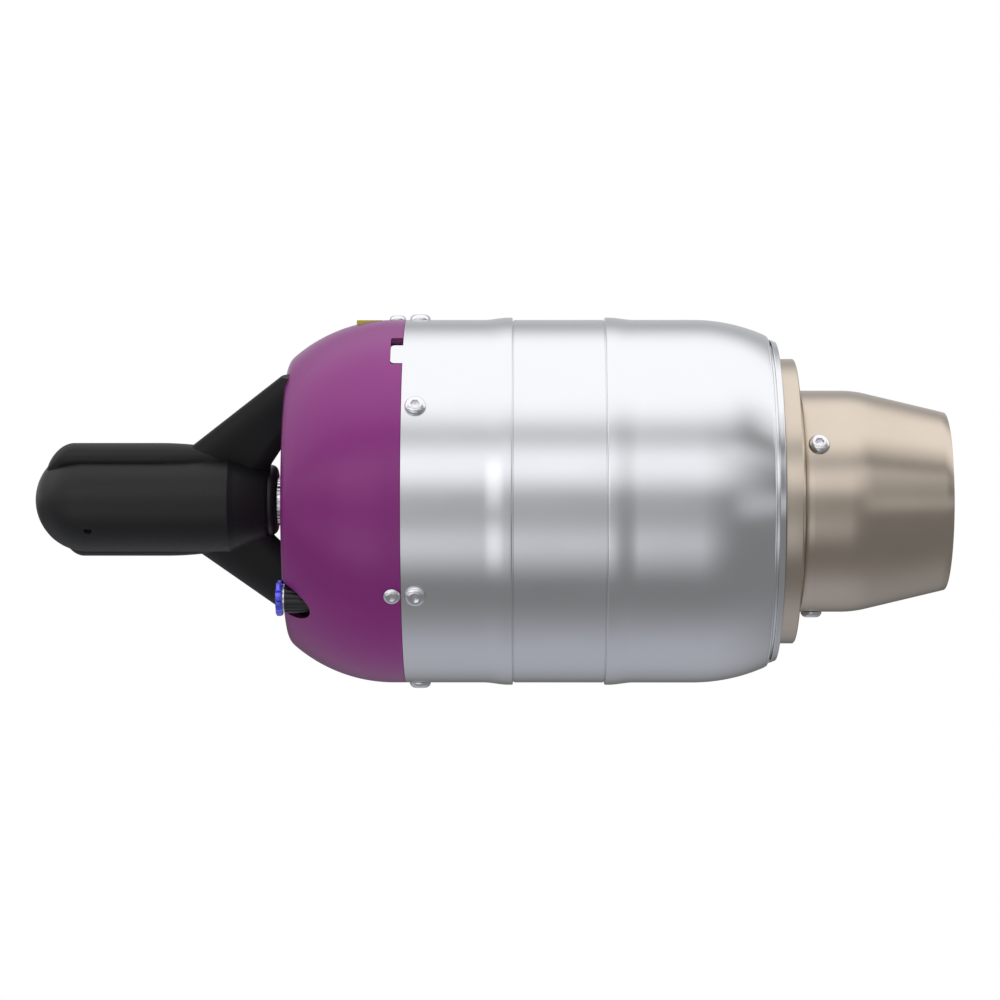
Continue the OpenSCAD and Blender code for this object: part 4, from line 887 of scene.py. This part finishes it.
class TURBOJET_OT_fitting(TurbojetPiece, bpy.types.Operator):
    """Push-in fuel fitting with its grab ring and blue release collar"""
    bl_idname = "turbojet.fitting"
    bl_label = "Fuel fitting and socket"

    def ribbed(self, stations, wave, steps):
        """Skin over (station, radius, share of the ribs) rings about the fitting's own axis, where
        wave gives the ribs' height for an angle in radians."""
        place, angle = fitting_place()
        turn = full_turn(steps)
        return skin([about_axis(circle(x, r + share * wave(turn), -turn, place), angle)
                     for x, r, share in stations], closed_along=True)

    def build(self, context):
        c = self.colours
        body = as_object("fitting_body", *self.body(), sharp=30)
        fit(body, "engine", "fitting_black", glossy_plastic("fitting_acetal", c.nylon, 0.3),
            "fuel_fitting")
        ring = as_object("grab_ring_toothed", *self.grab_ring())
        fit(ring, "engine", "screw_steel", screw_stainless(c), "grab_ring")
        collar = as_object("release_collar_lobed", *self.collar(), sharp=30)
        fit(collar, "collar", "collar_blue",
            glossy_plastic("collar_acetal", c.collar, 0.14, metallic=0.75), "release_collar")

    def body(self):
        """Fluted barrel with a plain collar at its rear, bored for the fuel line."""
        x0, x9 = reach("fuel_fitting", 0, 0), reach("fuel_fitting", 0, 1)
        r, ring_seat, line_r = 3.95, 2.98, 2.05
        stop_x, rear_x, end_x = x0 + 13, x0 + 16, x0 + 18.9

        def flutes(turn):
            return 0.34 * (np.abs(np.cos(turn * 7)) ** 0.7 - 1)

        line = [(x0, ring_seat, 0), (x0, r - 0.15, 0), (x0 + 0.15, r, 0.6), (x0 + 0.4, r, 1),
                (rear_x, r, 1), (rear_x, 4.6, 0), (end_x, 4.6, 0), (end_x, 2.9, 0), (x9, 2.9, 0),
                (x9, 1, 0), (stop_x, 1, 0), (stop_x, line_r, 0), (x0 + 1.4, line_r, 0),
                (x0 + 1.4, ring_seat, 0)]
        return self.ribbed(line, flutes, 192)

    def grab_ring(self):
        """Pressed ring in the barrel's mouth, with square teeth round its front."""
        x0 = reach("fuel_fitting", 0, 0)

        def teeth(turn):
            return -0.3 * (np.cos(turn * 18) > 0.1)

        line = [(x0 - 0.42, 3.7, 1), (x0 - 0.02, 3.7, 1), (x0 - 0.02, 2.93, 0),
                (x0 + 1.38, 2.93, 0), (x0 + 1.38, 2.55, 0), (x0 - 0.42, 2.55, 0)]
        return self.ribbed(line, teeth, 216)

    def collar(self):
        """Lobed disc whose hollow rear slides over ring and barrel, with its tube."""
        x0, x1 = reach("release_collar", 0, 0) + 0.35, reach("release_collar", 0, 0) + 2.15
        top = (reach("release_collar", 2, 1) - reach("release_collar", 2, 0)) / 2
        bore, tube, hollow, deep, first_lobe = 2.1, 2.45, 4.05, 0.9, 1.141

        def lobes(turn):
            return -0.5 * np.clip(np.cos((turn - first_lobe) * 11) * 6 - 5, 0, 1)

        line = [(x0, bore, 0), (x0, top - 0.45, 1), (x0 + 0.25, top - 0.05, 1), (x0 + 1, top, 1),
                (x1 - 0.3, top - 0.1, 1), (x1, top - 0.35, 0.4), (x1, hollow, 0),
                (x1 - deep, hollow, 0), (x1 - deep, tube, 0), (x1 + 0.9, tube, 0),
                (x1 + 0.9, bore, 0)]
        return self.ribbed(line, lobes, 264)


class TURBOJET_OT_inner(TurbojetPiece, bpy.types.Operator):
    """Finishes of the pieces inside, which keep their CAD form"""
    bl_idname = "turbojet.inner"
    bl_label = "Inner pieces"

    def build(self, context):
        c = self.colours
        aluminium = machined_aluminium(c)
        nickel = plain_metal("cast_nickel_alloy", c.alloy, 0.42)
        liner = plain_metal("liner_sheet", c.liner, 0.38, 0.3)
        steel = plain_metal("ground_steel", c.screw, 0.2, 0.15)
        rubber = glossy_plastic("moulded_rubber", c.rubber, 0.6)
        finishes = {
            aluminium: ("starter_motor", "compressor_shroud", "diffuser", "compressor_wheel",
                        "compressor_nut", "fuel_pump", "fuel_valves", "shaft_tunnel"),
            nickel: ("guide_vanes", "turbine_wheel", "exhaust_cone"),
            liner: ("outer_liner", "inner_liner", "liner_front_plate", "vaporiser_tubes",
                    "fuel_manifold"),
            steel: ("motor_shaft", "shaft", "front_spacer", "turbine_spacer", "turbine_nut",
                    "front_bearing_outer", "front_bearing_inner", "rear_bearing_outer",
                    "rear_bearing_inner", "preload_spring"),
            rubber: ("clutch_ring", "fuel_lines"),
            glossy_plastic("bearing_ceramic", c.ceramic, 0.2): (
                "front_bearing_balls", "rear_bearing_balls", "igniter"),
            glossy_plastic("phenolic_cage", c.cage, 0.45): (
                "front_bearing_cage", "rear_bearing_cage"),
            plain_metal("turned_brass", c.brass, 0.25): ("board_posts",),
            solder_resist(c): ("control_board",),
            glossy_plastic("olive_nylon", c.socket, 0.35): ("power_socket",),
        }
        for material, nodes in finishes.items():
            for name in nodes:
                mesh = frame["nodes"][name].data
                mesh.materials.clear()
                mesh.materials.append(material)


# ----------------------------------------------------------------------------------------- stage

# Softboxes of the reflection tent, which is what metal and gloss see. Each has a name, then in
# degrees the middle and half width of its angle about the engine axis (the camera is at 0, straight
# up is 90), the softness of these edges, its first and last lean along the axis (the nozzle's end
# is at 90) and the softness of those edges, then its brightness and its colour. They add up.
SOFTBOXES = (
    ("overhead", 89, 40, 32, -90, 28, 22, 0.99, "#FFFFFF"),
    ("overhead rear", 93, 31, 32, 28, 90, 22, 0.99, "#FFFFFF"),
    ("back wall", 157, 20, 42, -90, 90, 20, 0.35, "#F8FAFF"),
    ("back edge", 171, 5, 10, -90, 90, 20, 0.42, "#FFFFFF"),
    ("front strip", 22, 12, 20, -75, 34, 50, 0.72, "#FDFDFF"),
    ("front wall", 12, 45, 16, -90, 19, 24, 0.16, "#F8FAFF"),
    ("middle wall", 12, 45, 16, -90, 7, 10, 0.07, "#F8FAFF"),
    ("rear wall", -2, 8, 12, 28, 80, 16, 0.33, "#F8FAFF"),
    ("rear strip", 33, 6, 14, 20, 80, 14, 0.27, "#FFFFFF"),
    ("rear upper", 56, 8, 16, 36, 80, 12, 0.32, "#FFFFFF"),
    ("front corner", 10, 13, 14, -42, -12, 9, 0.42, "#FFFFFF"),
    ("low corner", -27, 13, 20, -42, -12, 9, 0.38, "#FFFFFF"),
    ("low strip", -30, 13, 18, -75, 12, 24, 0.275, "#F4F8FF"),
    ("underside", -110, 29, 46, -80, 30, 44, 0.285, "#EAEEFF"),
    ("dark floor", -160, 6, 24, -90, 90, 20, -0.12, "#FFFFFF"),
)
TENT_LEVEL = 0.235


class TURBOJET_OT_stage(TurbojetPiece, bpy.types.Operator):
    """Pale floor, white world, soft lamps, reflection tent and camera"""
    bl_idname = "turbojet.stage"
    bl_label = "Stage"

    def build(self, context):
        self.studio = context.scene.turbojet_studio
        self.span = millimetres(self.studio)
        self.world(context.scene)
        self.floor()
        self.lamp("key_lamp", (-0.1, -0.08, 0.82), self.studio.key, 0.9)
        self.lamp("fill_lamp", (0.25, -0.85, 0.1), self.studio.fill, 0.8)
        self.lamp("back_lamp", (0.1, 0.8, 0.35), self.studio.fill, 0.8)
        self.tent()
        self.camera(context.scene)
        context.scene.view_settings.view_transform = "Standard"

    def world(self, scene):
        """Plain white behind the engine and in metal, softer where it lights matt surfaces."""
        scene.world = scene.world or bpy.data.worlds.new("World")
        scene.world.use_nodes = True
        tree = scene.world.node_tree
        tree.nodes.clear()
        path = add(tree, "LightPath")
        seen = path.outputs["Is Camera Ray"]
        for ray in ("Is Glossy Ray", "Is Transmission Ray"):
            seen = add(tree, "Math", {0: seen, 1: path.outputs[ray]},
                       operation="MAXIMUM").outputs[0]
        level = add(tree, "MapRange", {"Value": seen, "To Min": self.studio.ambient,
                                       "To Max": 1.0})
        back = add(tree, "Background", {"Color": (1, 1, 1, 1), "Strength": level.outputs[0]})
        add(tree, "OutputWorld", {"Surface": back.outputs[0]})

    def floor(self):
        """Matt painted board under the engine."""
        z, places = -self.span["floor_drop"], np.linspace(-330, 330, 12)
        grid = [[(x, y, z) for x in places] for y in places]
        made = as_object("floor", *skin(grid, closed_round=False))
        base = colour("#F2F2F3")
        material, tree, shader = surface("painted_floor", base, 0.0, 0.8)
        shaded(tree, shader, base, pattern(tree, 30), 0.98, 1.02)
        made.data.materials.append(material)
        made.visible_glossy = False

    def lamp(self, name, place, power, size):
        """Soft square lamp at a place in metres, turned to the engine and unseen in metal."""
        data = bpy.data.lights.new(name, "AREA")
        data.energy, data.size, data.shape = power, size, "SQUARE"
        made = bpy.data.objects.new(name, data)
        made.location = place
        made.rotation_euler = (-Vector(place)).to_track_quat("-Z", "Y").to_euler()
        made.visible_glossy = False
        bpy.context.scene.collection.objects.link(made)

    def tent(self):
        """Sphere of softboxes that only metal and gloss see."""
        radius = self.span["tent"]
        turn, lean = math.pi / 2 - full_turn(180), np.radians(np.linspace(-89.5, 89.5, 90))
        rings = [circle(radius * math.sin(b), radius * math.cos(b), turn) for b in lean]
        made = as_object("reflection_tent", *skin(rings))
        co = np.array([v.co for v in made.data.vertices]) * 1000
        angle = np.degrees(np.arctan2(co[:, 2], -co[:, 1]))
        side = np.degrees(np.arcsin(np.clip(co[:, 0] / radius, -1, 1)))
        glow = np.full((len(co), 3), TENT_LEVEL)

        def window(value, low, high, soft):
            """1 between low and high, with edges that fade over the width soft."""
            t = np.clip((value - low) / soft + 0.5, 0, 1)
            t = t * np.clip((high - value) / soft + 0.5, 0, 1)
            return t * t * (3 - 2 * t)

        for _, middle, half, soft, x0, x1, x_soft, level, code in SOFTBOXES:
            off = (angle - middle + 180) % 360 - 180
            share = window(off, -half, half, soft) * window(side, x0, x1, x_soft)
            glow += np.outer(share * level, colour(code))
        layer = made.data.attributes.new("glow", "FLOAT_COLOR", "POINT")
        layer.data.foreach_set("color", np.c_[glow, np.ones(len(glow))].astype(np.float32).ravel())
        material = bpy.data.materials.new("tent_cloth")
        material.use_nodes = True
        tree = material.node_tree
        tree.nodes.clear()
        glow_seen = add(tree, "Attribute", attribute_name="glow").outputs[0]
        light = add(tree, "Emission", {"Color": glow_seen, "Strength": 1.0})
        add(tree, "OutputMaterial", {"Surface": light.outputs[0]})
        made.data.materials.append(material)
        made.visible_camera = made.visible_diffuse = made.visible_shadow = False
        made.visible_transmission = made.visible_volume_scatter = False

    def camera(self, scene):
        """Camera level with the engine axis, which looks at it from the side."""
        data = bpy.data.cameras.new("camera")
        data.lens, data.sensor_width = self.studio.lens, 36
        data.clip_start, data.clip_end = 0.01, 20
        made = bpy.data.objects.new("camera", data)
        place = Vector((-self.span["camera_x"], -self.span["distance"], 0)) / 1000
        target = Vector((-self.span["target_x"], 0, self.span["target_rise"])) / 1000
        turn = (target - place).to_track_quat("-Z", "Y")
        made.location = place
        made.rotation_mode = "QUATERNION"
        made.rotation_quaternion = turn @ Matrix.Rotation(self.studio.roll, 4, "Z").to_quaternion()
        scene.collection.objects.link(made)
        scene.camera = made


class TURBOJET_PT_panel(bpy.types.Panel):
    """Sizes, colours and pieces of the engine"""
    bl_idname = "TURBOJET_PT_panel"
    bl_label = "Model turbojet engine"
    bl_space_type = "VIEW_3D"
    bl_region_type = "UI"
    bl_category = "Turbojet"

    def draw(self, context):
        for operator in PIECES:
            self.layout.operator(operator.bl_idname)
        for group in (context.scene.turbojet_sizes, context.scene.turbojet_colours,
                      context.scene.turbojet_studio):
            box = self.layout.box()
            for name in group.__annotations__:
                box.prop(group, name)


GROUPS = {"turbojet_sizes": TurbojetSizes, "turbojet_colours": TurbojetColours,
          "turbojet_studio": TurbojetStudio}
PIECES = (TURBOJET_OT_case, TURBOJET_OT_cover, TURBOJET_OT_starter, TURBOJET_OT_exhaust,
          TURBOJET_OT_screws, TURBOJET_OT_fitting, TURBOJET_OT_inner, TURBOJET_OT_stage)


def register():
    for made in (*GROUPS.values(), *PIECES, TURBOJET_PT_panel):
        bpy.utils.register_class(made)
    for name, group in GROUPS.items():
        setattr(bpy.types.Scene, name, PointerProperty(type=group))


def unregister():
    for name in GROUPS:
        delattr(bpy.types.Scene, name)
    for made in reversed((*GROUPS.values(), *PIECES, TURBOJET_PT_panel)):
        bpy.utils.unregister_class(made)


def main():
    """Clears the start-up objects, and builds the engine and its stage."""
    for name in ("Cube", "Light", "Camera"):
        if name in bpy.data.objects:
            bpy.data.objects.remove(bpy.data.objects[name])
    register()
    for piece in PIECES:
        getattr(bpy.ops.turbojet, piece.bl_idname.split(".")[1])()


if __name__ == "__main__":
    main()
